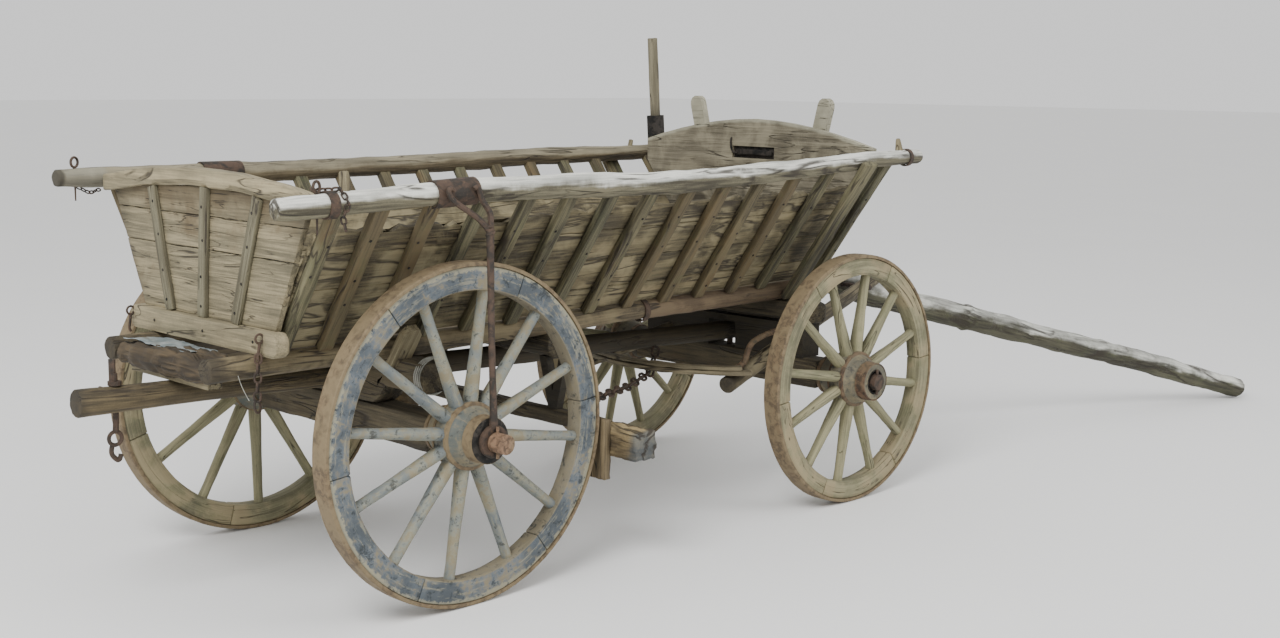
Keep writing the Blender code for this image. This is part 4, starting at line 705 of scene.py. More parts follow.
def make_finishes(colours):
    """All finishes of the cart, from the colours in the panel."""
    board, silver = tuple(colours.board), tuple(colours.silver)
    paint, olive, rust = tuple(colours.paint), tuple(colours.olive), tuple(colours.rust)
    dust, moss = tuple(colours.dust), tuple(colours.moss)
    # Near-black brown that darkens ends and bands; on the tailboard's side edges it is painted shade.
    murk = (0.040, 0.030, 0.020)
    Finish.deepening = tuple(colours.deepening)
    FINISHES.update({
        "tail_board": old_wood("dry_beige_board", board, [c * 0.45 for c in board],
                               stain=(0.15, 0.095, 0.045), stain_share=0.5, soot=0.2,
                               split_width=0.017, zones=(
                                   # Darker brown towards the arch; the bands at both side edges are
                                   # painted shade.
                                   ("Z", 1.11, 1.24, (0.105, 0.068, 0.034), 0.72),
                                   ("Y", 0.36, 0.56, murk, 0.5), ("Y", -0.38, -0.56, murk, 0.5))),
        "batten": old_wood("grey_batten", (0.285, 0.255, 0.175), (0.115, 0.095, 0.060),
                           stain=(0.13, 0.09, 0.05), soot=0.25, fine=0.9),
        "arch": old_wood("sun_bleached_arch", [c * 1.12 for c in board], [c * 0.58 for c in board],
                         stain=(0.16, 0.11, 0.06), stain_share=0.6, fine=0.7, soot=0.25,
                         depth=0.004),
        "side_board": old_wood("stained_side_board", (0.310, 0.255, 0.150), (0.055, 0.042, 0.024),
                               stain=(0.150, 0.080, 0.030), stain_share=0.65,
                               dust=(0.32, 0.27, 0.17), soot=0.62, split_width=0.040, fine=0.6,
                               depth=0.006),
        "slat": old_wood("grey_green_slat", (0.260, 0.230, 0.140), (0.050, 0.043, 0.025),
                         stain=(0.125, 0.072, 0.032), stain_share=0.7, moss=moss, moss_share=0.22,
                         fine=0.7, split_width=0.030, soot=0.3, vary=(0.15, 0.095, 0.045)),
        # The top colours here, on the rotten block and on the pole lighten upward faces: real bleaching
        # together with a painted highlight.
        "silver_rail": old_wood("silvered_toplit_rail", (0.27, 0.240, 0.165), (0.070, 0.056, 0.036),
                                stain=(0.14, 0.105, 0.06), stain_share=0.5, top=silver, fine=0.65,
                                split_width=0.040, depth=0.006, soot=0.22),
        "tan_rail": old_wood("tan_rail", (0.27, 0.215, 0.135), (0.085, 0.062, 0.038),
                             stain=(0.14, 0.095, 0.05), stain_share=0.5, top=(0.36, 0.31, 0.22),
                             soot=0.2, zones=(("X", -2.50, -2.54, (0.34, 0.325, 0.27), 0.5),
                                              ("X", -2.655, -2.672, murk, 0.8))),
        "bed_rail": old_wood("brown_bed_rail", (0.265, 0.205, 0.125), (0.058, 0.043, 0.026),
                             stain=(0.10, 0.050, 0.026), stain_share=0.65, dust=(0.25, 0.20, 0.12),
                             soot=0.4, fine=0.7, depth=0.005, zones=(
                                 ("X", -2.60, -2.69, murk, 0.75),
                                 ("X", -1.05, -0.85, (0.165, 0.100, 0.065), 0.5))),
        "reach": old_wood("brown_reach", (0.20, 0.150, 0.085), (0.060, 0.044, 0.025),
                          stain=(0.07, 0.05, 0.03), soot=0.4, fine=0.8, depth=0.004, zones=(
                              ("X", -2.90, -2.95, murk, 0.8),
                              ("X", -2.10, -1.60, (0.035, 0.027, 0.018), 0.7))),
        "dark": old_wood("dark_timber", (0.065, 0.050, 0.031), (0.018, 0.014, 0.010), soot=0.5,
                         stain=(0.06, 0.045, 0.025), grain_axis="Y"),
        "beam": old_wood("brown_beam", (0.165, 0.130, 0.080), (0.045, 0.034, 0.021), soot=0.45,
                         stain=(0.09, 0.06, 0.033), fine=0.7, split_width=0.032, depth=0.005),
        "floor": old_wood("trodden_floor", (0.19, 0.145, 0.088), (0.07, 0.052, 0.032), soot=0.4,
                          dust=(0.22, 0.17, 0.105), grain_axis="X"),
        "front_board": old_wood("crumbling_front_board", (0.330, 0.290, 0.215),
                                (0.120, 0.098, 0.068), stain=(0.150, 0.115, 0.075), soot=0.35,
                                grain_axis="Y", fine=0.9, split_width=0.016, depth=0.008,
                                dust=(0.34, 0.30, 0.22), zones=(("Z", 1.20, 1.05, murk, 0.6),),
                                arch=(FRONT_ARCH_TOP, FRONT_ARCH_RISE, FRONT_HALF,
                                      (0.42, 0.39, 0.30))),
        "log": old_wood("split_log", (0.150, 0.105, 0.060), (0.032, 0.023, 0.015),
                        stain=(0.070, 0.044, 0.024), soot=0.6, fine=0.45, split_width=0.06,
                        depth=0.010),
        "pale_board": old_wood("pale_board", [c * 0.85 for c in board], [c * 0.38 for c in board],
                               grain_axis="Y", soot=0.35, split_width=0.03),
        "stump": old_wood("pale_stump", (0.34, 0.29, 0.185), (0.15, 0.118, 0.072), soot=0.25,
                          stain=(0.15, 0.10, 0.05)),
        "shoe": old_wood("sandy_shoe", (0.29, 0.22, 0.13), (0.12, 0.085, 0.048), soot=0.3,
                         stain=(0.17, 0.085, 0.04), stain_share=0.6, depth=0.006),
        "rotten": old_wood("rotten_block", (0.33, 0.245, 0.135), (0.110, 0.075, 0.038),
                           stain=(0.08, 0.065, 0.045), stain_share=0.8, soot=0.5, fine=0.5,
                           top=(0.46, 0.35, 0.19), depth=0.008, split_width=0.06, zones=(
                               ("Y", -0.715, -0.745, (0.085, 0.100, 0.115), 0.75),)),
        "hound": old_wood("brown_hound", (0.285, 0.230, 0.145), (0.070, 0.054, 0.034),
                          stain=(0.12, 0.08, 0.045), soot=0.4, dust=(0.29, 0.24, 0.155),
                          split_width=0.034, fine=0.7, depth=0.005, zones=(
                              ("X", -0.565, -0.595, murk, 0.7),)),
        "sway_bar": old_wood("pale_sway_bar", (0.330, 0.275, 0.180), (0.085, 0.067, 0.043),
                             stain=(0.13, 0.09, 0.05), soot=0.35, split_width=0.034, fine=0.7,
                             depth=0.005),
        "pole": old_wood("silvered_toplit_pole", (0.175, 0.160, 0.108), (0.034, 0.030, 0.020),
                         stain=(0.075, 0.072, 0.032), stain_share=0.6, top=silver, moss=moss,
                         moss_share=0.3, soot=0.5, fine=0.5, split_width=0.055, depth=0.010,
                         zones=(("X", 2.88, 2.935, murk, 0.7),)),
        "post": old_wood("pale_post", (0.33, 0.29, 0.205), (0.165, 0.138, 0.092),
                         stain=(0.2, 0.16, 0.10), zones=(("Z", 1.50, 1.44, murk, 0.5),)),
        "blue_felloe": old_paint("faded_blue_felloe", paint, [c * 1.9 for c in paint],
                                 (0.36, 0.33, 0.24), dust, (0.030, 0.034, 0.038), 0.68,
                                 rim=(AXLE_X, REAR_RADIUS, 0.440, 0.513)),
        "blue_spoke": old_paint("faded_blue_spoke", (0.165, 0.178, 0.185), (0.28, 0.28, 0.235),
                                (0.34, 0.31, 0.22), dust, wear=0.75),
        "olive_felloe": old_wood("olive_felloe", [c * 1.38 for c in olive], [c * 0.62 for c in olive],
                                 moss=moss, moss_share=0.30, stain=(0.15, 0.11, 0.065),
                                 stain_share=0.75, dust=[c * 1.5 for c in dust],
                                 split_width=0.010, soot=0.35),
        "olive_spoke": old_wood("olive_spoke", [c * 1.35 for c in olive], [c * 0.72 for c in olive],
                                moss=moss, moss_share=0.25, stain=(0.19, 0.15, 0.09),
                                stain_share=0.3, split_width=0.009),
        "nave": old_paint("greyed_nave", (0.125, 0.130, 0.120), (0.215, 0.190, 0.140),
                          (0.25, 0.205, 0.135), dust, wear=0.8),
        "brown_nave": old_paint("browned_nave", (0.125, 0.110, 0.085), (0.165, 0.145, 0.105),
                                (0.19, 0.15, 0.10), dust, wear=0.6),
        "tread": old_iron("sandy_tyre", (0.215, 0.150, 0.088), (0.135, 0.096, 0.060),
                          (0.275, 0.20, 0.125), (0.245, 0.185, 0.11), 0.75, size=48, metallic=0.1),
        "iron": old_iron("rusty_iron", rust, (0.048, 0.037, 0.031), (0.17, 0.105, 0.065)),
        "band": old_iron("rusty_band", (0.145, 0.075, 0.045), (0.070, 0.048, 0.036),
                         (0.235, 0.135, 0.075), dust, 0.35, size=40),
        "axle": old_iron("worn_axle", (0.27, 0.165, 0.105), (0.13, 0.082, 0.055),
                         (0.36, 0.24, 0.15), dust, 0.45, size=60),
        "black_iron": old_iron("dark_iron", (0.045, 0.033, 0.026), (0.020, 0.018, 0.017),
                               (0.09, 0.075, 0.065), metallic=0.5),
        "wire": old_iron("pale_wire", (0.42, 0.41, 0.37), (0.27, 0.26, 0.23), (0.5, 0.48, 0.43)),
        "sheet": galvanised_sheet("galvanised_sheet"),
    })


# Node of the frame, with the finish that it keeps
FRAME_FINISHES = {
    "fore_block": "dark", "brake_hanger_left": "dark", "brake_hanger_right": "dark",
    "rear_cross_board": "pale_board", "front_board": "front_board",
    "floor_board_1": "floor", "floor_board_2": "floor", "floor_board_3": "floor",
    "kingpin": "iron", "pole_pin": "iron", "reach_bolt": "iron",
    "rail_clamp_left": "iron", "rail_clamp_right": "iron", "post_socket": "black_iron",
    "front_axle_iron": "iron", "rear_axle_iron": "axle",
}


def dress_frame():
    """Give every node that stays in view its finish."""
    for node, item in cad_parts.items():
        finish = FINISHES[FRAME_FINISHES.get(node, "dark")]
        for slot in item.material_slots:
            slot.material = finish


# Bed rails, reach and what crosses them

def make_bed_rails(sizes):
    """Round rails that carry the bed, a little bent and checked."""
    rng = random.Random(11)
    for name, side in SIDES:
        place = shift(0, side * RAIL_HALF_SPACING, RAIL_HEIGHT) @ turn(-RAIL_SLOPE, "Y")
        rows = [(-0.690, 0, 0, 0.0355), (0.4, 0, 0, 0.0345), (2.100, 0, 0, 0.0335)]
        rail = grown(pole_stations(rows, rng, 0.035, 0.003, 0.05, 5), 26)
        seat(rail, rng, place, 0.004, sizes.furrow)
        settle(rail, f"old_bed_rail_{name}", "wagon", "rail_wood", "bed_rail", f"bed_rail_{name}")


def reach_line():
    """Ends of the reach pole, from the rear axle's middle on the ground."""
    rear, front = Vector((-0.942, 0, 0.660)), Vector((WHEELBASE, 0, 0.5865))
    return rear, rear + (front - rear) * ((WHEELBASE + 0.045 - rear.x) / (front.x - rear.x))


def make_reach(sizes):
    """Round pole that joins the axles."""
    rng = random.Random(12)
    rear, front = reach_line()
    place = along_line(spot(*rear), spot(*front))
    length = (front - rear).length
    rows = [(0, 0, 0, 0.0395), (0.5, 0, 0, 0.0385), (length, 0, 0, 0.036)]
    reach = grown(pole_stations(rows, rng, 0.04, 0.003, 0.04, 3), 26)
    seat(reach, rng, place, 0.004, sizes.furrow)
    settle(reach, "old_reach", "wagon", "dark_wood", "reach", "reach_pole")


CROSSWISE = Matrix(((0, 0, 1), (1, 0, 0), (0, 1, 0))).to_4x4()   # X to +Y, Y to +Z, Z to +X


def box_timber(node, rng, edge=0.006, along=16, across=3, through=3, grow=0.0):
    """Timber that fills a frame node's box, with its grain across the cart."""
    low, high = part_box(node)
    size, middle = high - low, (low + high) / 2
    made = timber(size.y + grow, size.z + grow, size.x + grow, along, across, edge, through)
    mark_grain(made, rng)
    place = Matrix.Translation(middle) @ CROSSWISE
    put(made, place)
    return made, place


def make_cross_log(sizes):
    """Half-rotten split log between the rails' tails, with a metal sheet lying on it."""
    rng = random.Random(13)
    low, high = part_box("rear_cross_beam")
    middle = (low + high) / 2
    half = (high.y - low.y) / 2 - 0.002
    logs = []
    for x, radius, lift in ((-0.020, 0.037, 0.0), (0.026, 0.030, 0.006)):
        rows = [(-half, 0, 0, radius * 0.9), (-0.05, 0, 0, radius), (half, 0, 0, radius * 0.95)]
        log = grown(pole_stations(rows, rng, 0.012, 0.012, 0.28, 9, 0.008), 26)
        place = Matrix.Translation((middle.x + x, middle.y, middle.z + lift)) @ CROSSWISE
        seat(log, rng, place, 0.022, 0.010, 0.035, 0.018, 5)
        logs.append(log)
    settle(joined(logs), "split_cross_log", "wagon", "rail_wood", "log", "rear_cross_beam")

    fresh()
    bpy.ops.mesh.primitive_grid_add(x_subdivisions=16, y_subdivisions=34, size=1)
    sheet = bpy.context.object
    bpy.ops.transform.resize(value=(0.120, 0.330, 1))
    put(sheet, Matrix.Translation((low.x + 0.064, 0.075, high.z + 0.010)) @ turn(0.10, "Y")
        @ turn(0.05, "Z"))
    weather(sheet, Matrix.Identity(4), 0.020, 0, 0.06)
    modify(sheet, "SOLIDIFY", thickness=0.0014)
    settle(sheet, "metal_sheet", "wagon", "iron", "sheet")


def make_stumps(sizes):
    """Sawn-off stake stumps on the rear bolster, with their chamfered heads."""
    rng = random.Random(14)
    for name, side in SIDES:
        base = flank(side)
        out = -side * (RAIL_RADIUS + SEAT_GAP + STAKE_THICKNESS / 2)
        made = timber(0.172, 0.0685, 0.0275, 6, 3, 0, 2)
        place = base @ Matrix.Translation((-0.040, 0.036, out)) @ turn(math.pi / 2, "Z")
        pick(made, "VERT", lambda point: point.co.x > 0.08 and abs(point.co.y) > 0.03)
        bpy.ops.transform.translate(value=(-0.026, 0, 0))
        fresh()
        soften(made, 0.004, 30)
        seat(made, rng, place, 0.003, 0.0015)
        settle(made, f"stake_stump_{name}", "wagon", "slat_wood", "stump")


# Ladders

RIGHT_TOP_RAIL = [
    (-0.667, 0.597, 0.031), (-0.494, 0.599, 0.033), (0.017, 0.618, 0.036), (0.339, 0.612, 0.037),
    (0.697, 0.598, 0.037), (0.977, 0.598, 0.036), (1.274, 0.610, 0.035), (1.589, 0.625, 0.033),
    (1.877, 0.639, 0.030), (2.178, 0.642, 0.026),
]
LEFT_TOP_RAIL = [
    (-0.666, 0.618, 0.030), (0.017, 0.608, 0.034), (0.244, 0.603, 0.035), (0.684, 0.603, 0.036),
    (1.176, 0.608, 0.035), (1.658, 0.610, 0.033), (2.019, 0.612, 0.031), (2.178, 0.612, 0.028),
]
TOP_RAILS = {1: LEFT_TOP_RAIL, -1: RIGHT_TOP_RAIL}
SLAT_PLACES = [-0.463] + [-0.310 + 0.180 * i for i in range(12)] + [1.990]


def make_ladders(sizes):
    """Leaning sides of the cart: top rail, slats and front stake."""
    rng = random.Random(21)
    for name, side in SIDES:
        base = flank(side)
        rows = [(x, up, 0, radius) for x, up, radius in TOP_RAILS[side]]
        rail = grown(pole_stations(rows, rng, 0.03, 0.003, 0.06, 8), 30)
        seat(rail, rng, base, 0.006, sizes.furrow)
        settle(rail, f"top_rail_{name}", "wagon", "slat_wood",
               "silver_rail" if side < 0 else "tan_rail", f"ladder_{name}")

        slats = []
        for x in SLAT_PLACES:
            foot, head = RAIL_RADIUS + SEAT_GAP, table_value(TOP_RAILS[side], x, 1)
            width = sizes.slat_width * rng.uniform(0.92, 1.10)
            slat = timber(head - foot, width, 0.028, 14, 2, 0.0045)
            bow, lean = rng.uniform(-0.003, 0.003), rng.uniform(-0.006, 0.006)
            reshape(slat, lambda along, bow=bow, lean=lean: (
                lean * along / 0.3 * -1 + bow * (1 - (along / 0.3) ** 2), 0))
            mark_grain(slat, rng)
            put(slat, base @ Matrix.Translation((x, (head + foot) / 2, 0))
                @ turn(math.pi / 2, "Z"))
            slats.append(slat)
        slats = joined(slats)
        weather(slats, base @ turn(math.pi / 2, "Z"), 0.003, 0.003, 0.08)
        settle(slats, f"slats_{name}", "wagon", "slat_wood", "slat", f"ladder_{name}")

        stake_low, stake_high = 0.004, 0.664
        stake = timber(stake_high - stake_low, 0.074, STAKE_THICKNESS, 14, 2, 0.005)
        mark_grain(stake, rng)
        out = -side * (RAIL_RADIUS + SEAT_GAP + STAKE_THICKNESS / 2)
        put(stake, base @ Matrix.Translation((1.812, (stake_low + stake_high) / 2, out))
            @ turn(math.pi / 2, "Z"))
        weather(stake, base @ turn(math.pi / 2, "Z"), 0.004, 0.003)
        settle(stake, f"tall_stake_{name}", "wagon", "slat_wood", "slat", f"front_stake_{name}")


BOARD_TOP = 0.484
RIGHT_BOARD_EDGE = [
    (-0.484, 0.478), (-0.180, 0.486), (0.150, 0.474), (0.520, 0.490), (0.900, 0.480),
    (1.260, 0.492), (1.600, 0.486), (1.955, 0.498),
]
LEFT_BOARD_EDGE = [
    (-0.484, 0.486), (-0.050, 0.478), (0.380, 0.489), (0.760, 0.476), (1.180, 0.488),
    (1.580, 0.480), (1.955, 0.494),
]


def make_side_boards(sizes):
    """Two wide boards inside each ladder, warped, with a broken upper edge."""
    rng = random.Random(31)
    rear, front, foot, seam = -0.484, 1.955, 0.036, 0.262
    middle_x = (front + rear) / 2
    for name, side in SIDES:
        base = flank(side)
        edge = LEFT_BOARD_EDGE if side > 0 else RIGHT_BOARD_EDGE
        inward = side * 0.0233
        for level, strips in (("lower", ((foot, 0.128), (0.1315, seam - 0.0015))),
                              ("upper", ((seam + 0.001, 0.393), (0.396, BOARD_TOP)))):
            boards = []
            for low, high in strips:
                board = timber(front - rear, high - low, 0.0165, 84, 4, 0.0025)
                half = (high - low) / 2

                def lift(x, high=high, edge=edge):
                    """How far a slice's edge is off its line; the top edge has bits broken out."""
                    unevenness = rng.uniform(-0.004, 0.001)
                    if high < BOARD_TOP:
                        return unevenness, 0
                    level = table_value(edge, x + middle_x, 1) + rng.uniform(-0.008, 0.003)
                    return level - high - (0.020 if rng.random() < 0.12 else 0), 0

                reshape(board, lift, lambda point, half=half: point.co.y > half - 0.005)
                mark_grain(board, rng)
                out = inward + rng.uniform(-0.0015, 0.0015)
                put(board, base @ Matrix.Translation((middle_x, (high + low) / 2, out)))
                weather(board, base, 0.008, 0.005, 0.13, 0.016, 16)
                boards.append(board)
            for height in (0.1298, seam) if level == "lower" else (0.3945,):
                tongue = timber(front - rear - 0.01, 0.022, 0.006, 24, 0, 0)
                mark_grain(tongue, rng)
                put(tongue, base @ Matrix.Translation((middle_x, height, inward)))
                boards.append(tongue)
            settle(joined(boards), f"side_planks_{level}_{name}", "wagon", "board_wood",
                   "side_board", f"side_board_{level}_{name}")


# Tailboard and front board

def tail_arch(y):
    """Height of the tailboard's arched head."""
    return TAIL_ARCH_TOP - TAIL_ARCH_RISE * (y / TAIL_ARCH_HALF_WIDTH) ** 2


def tail_half_width(z):
    """Half the tailboard's width, which grows from foot to shoulder."""
    rise = (z - TAIL_FOOT_Z) / (TAIL_SHOULDER_Z - TAIL_FOOT_Z)
    return TAIL_FOOT_HALF_WIDTH + (TAIL_SHOULDER_HALF_WIDTH - TAIL_FOOT_HALF_WIDTH) * rise


TAIL_SILL_DEPTH = 0.074
TAIL_SILL_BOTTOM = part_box("tail_frame")[0].z
TAIL_SILL_TOP = TAIL_SILL_BOTTOM + TAIL_SILL_DEPTH


def make_tail_sill(rng):
    """Beam that the tailboard stands on, with rounded ends."""
    sill = timber(0.842, TAIL_SILL_DEPTH, 0.048, 22, 3, 0, 2)
    for end in (1, -1):
        pick(sill, "VERT", lambda p, end=end: p.co.x * end > 0.42 and abs(p.co.y) > 0.03)
        bpy.ops.transform.translate(value=(-end * 0.020, 0, 0))
    fresh()
    soften(sill, 0.007, 30)
    place = shift(TAIL_X - 0.024, 0, (TAIL_SILL_BOTTOM + TAIL_SILL_TOP) / 2) @ CROSSWISE
    seat(sill, rng, place, 0.003, 0.002)
    settle(sill, "tail_sill", "tailboard", "board_wood", "arch", "tail_frame")


def make_tail_battens(rng):
    """Three battens over the planks, from sill to arch."""
    battens = []
    x = TAIL_X - 0.0283
    for foot_y, head_y in TAIL_BATTENS:
        head_z = tail_arch(abs(head_y) + 0.02) - TAIL_ARCH_DEPTH - 0.001
        foot, head = spot(x, foot_y, TAIL_SILL_TOP + 0.0008), spot(x, head_y, head_z)
        length = (head - foot).length
        batten = timber(length, 0.042, 0.015, 14, 2, 0.003)
        seat(batten, rng, along_line(foot, head, (-1, 0, 0)), 0.002, 0.0022,
             inner=Matrix.Translation((length / 2, 0, 0)))
        battens.append(batten)
    settle(joined(battens), "tail_battens", "tailboard", "board_wood", "batten", "tail_frame")


def make_tail_planks(rng):
    """Planks that widen upwards, the upper one cut to the arch."""
    seam = 1.072
    for level, bottom, top in (("lower", TAIL_SILL_TOP + SEAT_GAP, seam - 0.0012),
                               ("middle", seam + 0.0008, 1.172), ("upper", 1.1735, 1.262)):
        plank = timber(1.0, top - bottom, 0.020, 44, 8, 0.002)
        middle = (bottom + top) / 2
        for y in sorted({round(p.co.y, 4) for p in plank.data.vertices}):
            share = 2 * tail_half_width(min(y + middle, TAIL_SHOULDER_Z))
            pick(plank, "VERT", lambda p, y=y: abs(p.co.y - y) < 0.0001)
            bpy.ops.transform.resize(value=(share, 1, 1), center_override=(0, y, 0))
        fresh()
        edge_row = top - middle - 0.005
        for x in sorted({round(p.co.x, 4) for p in plank.data.vertices if p.co.y > edge_row}):
            lift = rng.uniform(-0.003, 0)
            if level == "upper":
                lift = tail_arch(x) - TAIL_ARCH_DEPTH - 0.0012 - top
            pick(plank, "VERT", lambda p, x=x: abs(p.co.x - x) < 0.0001 and p.co.y > edge_row)
            bpy.ops.transform.translate(value=(0, lift, 0))
        fresh()
        seat(plank, rng, shift(TAIL_X - 0.010, 0, middle) @ CROSSWISE, 0.004, 0.003, 0.14, 0.010,
             18)
        settle(plank, f"end_plank_{level}", "tailboard", "board_wood", "tail_board",
               "tail_plank_lower" if level == "lower" else "tail_plank_upper")


def make_tail_arch(rng):
    """Arched head of the tailboard, chipped underneath."""
    arch = timber(2 * TAIL_ARCH_HALF_WIDTH, TAIL_ARCH_DEPTH, 0.042, 48, 2, 0.007, 2)
    reshape(arch, lambda y: (tail_arch(y) - TAIL_ARCH_TOP + 0.0012 * math.sin(23 * y), 0))
    pick(arch, "VERT", lambda p: p.co.y < -0.012 + tail_arch(p.co.x) - TAIL_ARCH_TOP
         and p.co.z < -0.01 and 0.06 < abs(p.co.x + 0.1) < 0.36)
    bpy.ops.transform.translate(value=(0, 0.008, 0.004))
    fresh()
    place = shift(TAIL_X - 0.021, 0, TAIL_ARCH_TOP - TAIL_ARCH_DEPTH / 2) @ CROSSWISE
    seat(arch, rng, place, 0.004, 0.0025)
    settle(arch, "tail_arch_beam", "tailboard", "board_wood", "arch", "tail_arch")


def make_tailboard(sizes):
    rng = random.Random(41)
    for make in (make_tail_sill, make_tail_battens, make_tail_planks, make_tail_arch):
        make(rng)


# Running gear

def make_brake(sizes):
    """Brake blocks and the worn shoes that they carry."""
    rng = random.Random(51)
    for name, _ in SIDES:
        block, place = box_timber(f"brake_block_{name}", rng, 0.008, 18, 7, 7)
        weather(block, place, 0.022, 0.014, 0.04, 0.014, 5)
        settle(block, f"rotten_block_{name}", "wagon", "rotten_wood", "rotten",
               f"brake_block_{name}")
        low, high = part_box(f"brake_shoe_{name}")
        size, middle = high - low, middle_of(f"brake_shoe_{name}")
        shoe = timber(size.z, size.y, size.x, 12, 5, 0.004, 1)
        place = Matrix.Translation(middle) @ turn(-math.pi / 2, "Y")
        seat(shoe, rng, place, 0.007, 0.006, 0.05, 0.012, 8)
        settle(shoe, f"worn_shoe_{name}", "wagon", "board_wood", "shoe", f"brake_shoe_{name}")


HOUND_REAR, HOUND_FRONT = (1.410, 0.375, 0.462), (2.620, 0.135, 0.748)


def make_hounds(sizes):
    """Round arms that hold the pole, and what joins them."""
    rng = random.Random(61)
    for name, side in SIDES:
        rear = spot(HOUND_REAR[0], side * HOUND_REAR[1], HOUND_REAR[2])
        front = spot(HOUND_FRONT[0], side * HOUND_FRONT[1], HOUND_FRONT[2])
        place = along_line(rear, front)
        rows = [(0, 0, 0, 0.031), ((front - rear).length, 0, 0, 0.030)]
        hound = grown(pole_stations(rows, rng, 0.04, 0.002, 0.05, 3), 22)
        seat(hound, rng, place, 0.003, 0.002)
        settle(hound, f"old_hound_{name}", "fore_carriage", "hound_wood", "hound",
               f"hound_{name}")
    low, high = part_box("sway_bar")
    radius, tall = 0.570, high.z - low.z
    layers = []
    for share, lift, width, degrees in ((0.42, 0.79, 0.040, 93), (0.50, 0.25, 0.047, 100)):
        span = math.radians(degrees)
        layer = spun(width, tall * share, radius, math.pi - span / 2, span, 44)
        soften(layer, 0.004)
        mark_grain(layer, rng, lambda co: Vector((
            radius * math.atan2(co.y, -co.x), co.xy.length - radius, co.z)))
        place = shift(WHEELBASE, 0, low.z + tall * lift)
        put(layer, place)
        weather(layer, place, 0.009, 0, 0.07)
        layers.append(layer)
    settle(joined(layers), "old_sway_bar", "fore_carriage", "hound_wood", "sway_bar", "sway_bar")


# Node, body and worn edge of each hewn beam
BEAMS = [
    ("rear_axle_beam", "wagon", 0.010), ("rear_bolster", "wagon", 0.016),
    ("front_bolster", "wagon", 0.020), ("front_axle_beam", "fore_carriage", 0.010),
    ("mid_crossbar", "wagon", 0.010), ("brake_beam", "wagon", 0.008),
]
BOLSTER_ARM_LIFT = 0.063            # how far the rear bolster's underside rises at its arms
BOLSTER_ARM_START = 0.20


def bolster_underside(y):
    """Rise of the rear bolster's underside, y across the cart."""
    return BOLSTER_ARM_LIFT * min(max((abs(y) - BOLSTER_ARM_START) / 0.05, 0.0), 1.0), 0


def make_beams(sizes):
    """Bolsters, axle beams and cross bars, hewn by hand and worn round at their ends."""
    rng = random.Random(65)
    for node, body, edge in BEAMS:
        low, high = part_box(node)
        if node == "rear_bolster":
            low.x, high.z = AXLE_X - 0.050, BOLSTER_TOP
        size, middle = high - low, (low + high) / 2
        if node == "mid_crossbar":
            rows = [(-size.y / 2, 0, 0, 0.036), (size.y / 2, 0, 0, 0.035)]
            beam = grown(pole_stations(rows, rng, 0.03, 0.003, 0.08, 3), 22)
        else:
            beam = timber(size.y, size.z, size.x, 26, 3, edge, 2)
        if node == "rear_bolster":
            reshape(beam, bolster_underside, lambda point: point.co.y < 0)
        seat(beam, rng, Matrix.Translation(middle) @ CROSSWISE, 0.006, 0.005, 0.09, 0.014, 9)
        settle(beam, f"old_{node}", body, "dark_wood", "beam", node)


def make_pole(sizes):
    """Pole from its pin down to the ground, where its lower edge rests."""
    rng = random.Random(71)
    pin = Vector((2.500, 0, middle_of("pole_pin").z))
    length, tip, askew = 2.634, 0.048, math.radians(-16.5)
    drop = math.asin(pin.z / math.hypot(length, tip)) - math.atan2(tip, length)
    place = Matrix.Translation(spot(*pin)) @ Euler((0, drop, askew)).to_matrix().to_4x4()
    rows = [(-0.230, 0, 0, 0.058), (0.2, 0, 0, 0.057), (1.2, 0.004, 0.006, 0.052),
            (2.0, 0.002, 0.004, 0.050), (length, 0, 0, tip)]
    pole = grown(pole_stations(rows, rng, 0.03, 0.005, 0.09, 9, 0.012), 34)
    seat(pole, rng, place, 0.010, 0.009, 0.09, 0.016, 10)
    settle(pole, "old_pole", "pole", "pole_wood", "pole", "pole")


# End, place of its axle, half track, radius, felloe depth, degrees of the left and right spokes
WHEELS = [
    ("rear", 0.0, REAR_HALF_TRACK, REAR_RADIUS, 0.073, 1.0, 21.0),
    ("front", WHEELBASE, FRONT_HALF_TRACK, FRONT_RADIUS, 0.0655, 17.0, 20.0),
]
SPOKES = 12
FELLOES = 6
NAVE = [
    (0.066, 0.112), (0.0675, 0.108), (0.0695, 0.069), (0.074, 0.066), (0.0805, 0.063),
    (0.0860, 0.048), (0.0915, 0.034), (0.097, 0.031), (0.1015, 0.027), (0.103, 0.020),
    (0.1015, 0.0165), (0.103, 0.013), (0.1035, 0.0), (0.103, -0.018), (0.1015, -0.0205),
    (0.103, -0.023), (0.102, -0.034), (0.097, -0.038), (0.090, -0.042), (0.082, -0.062),
    (0.075, -0.084), (0.071, -0.100), (0.069, -0.112), (0.033, -0.112), (0.033, 0.080),
    (0.046, 0.084), (0.047, 0.112),
]


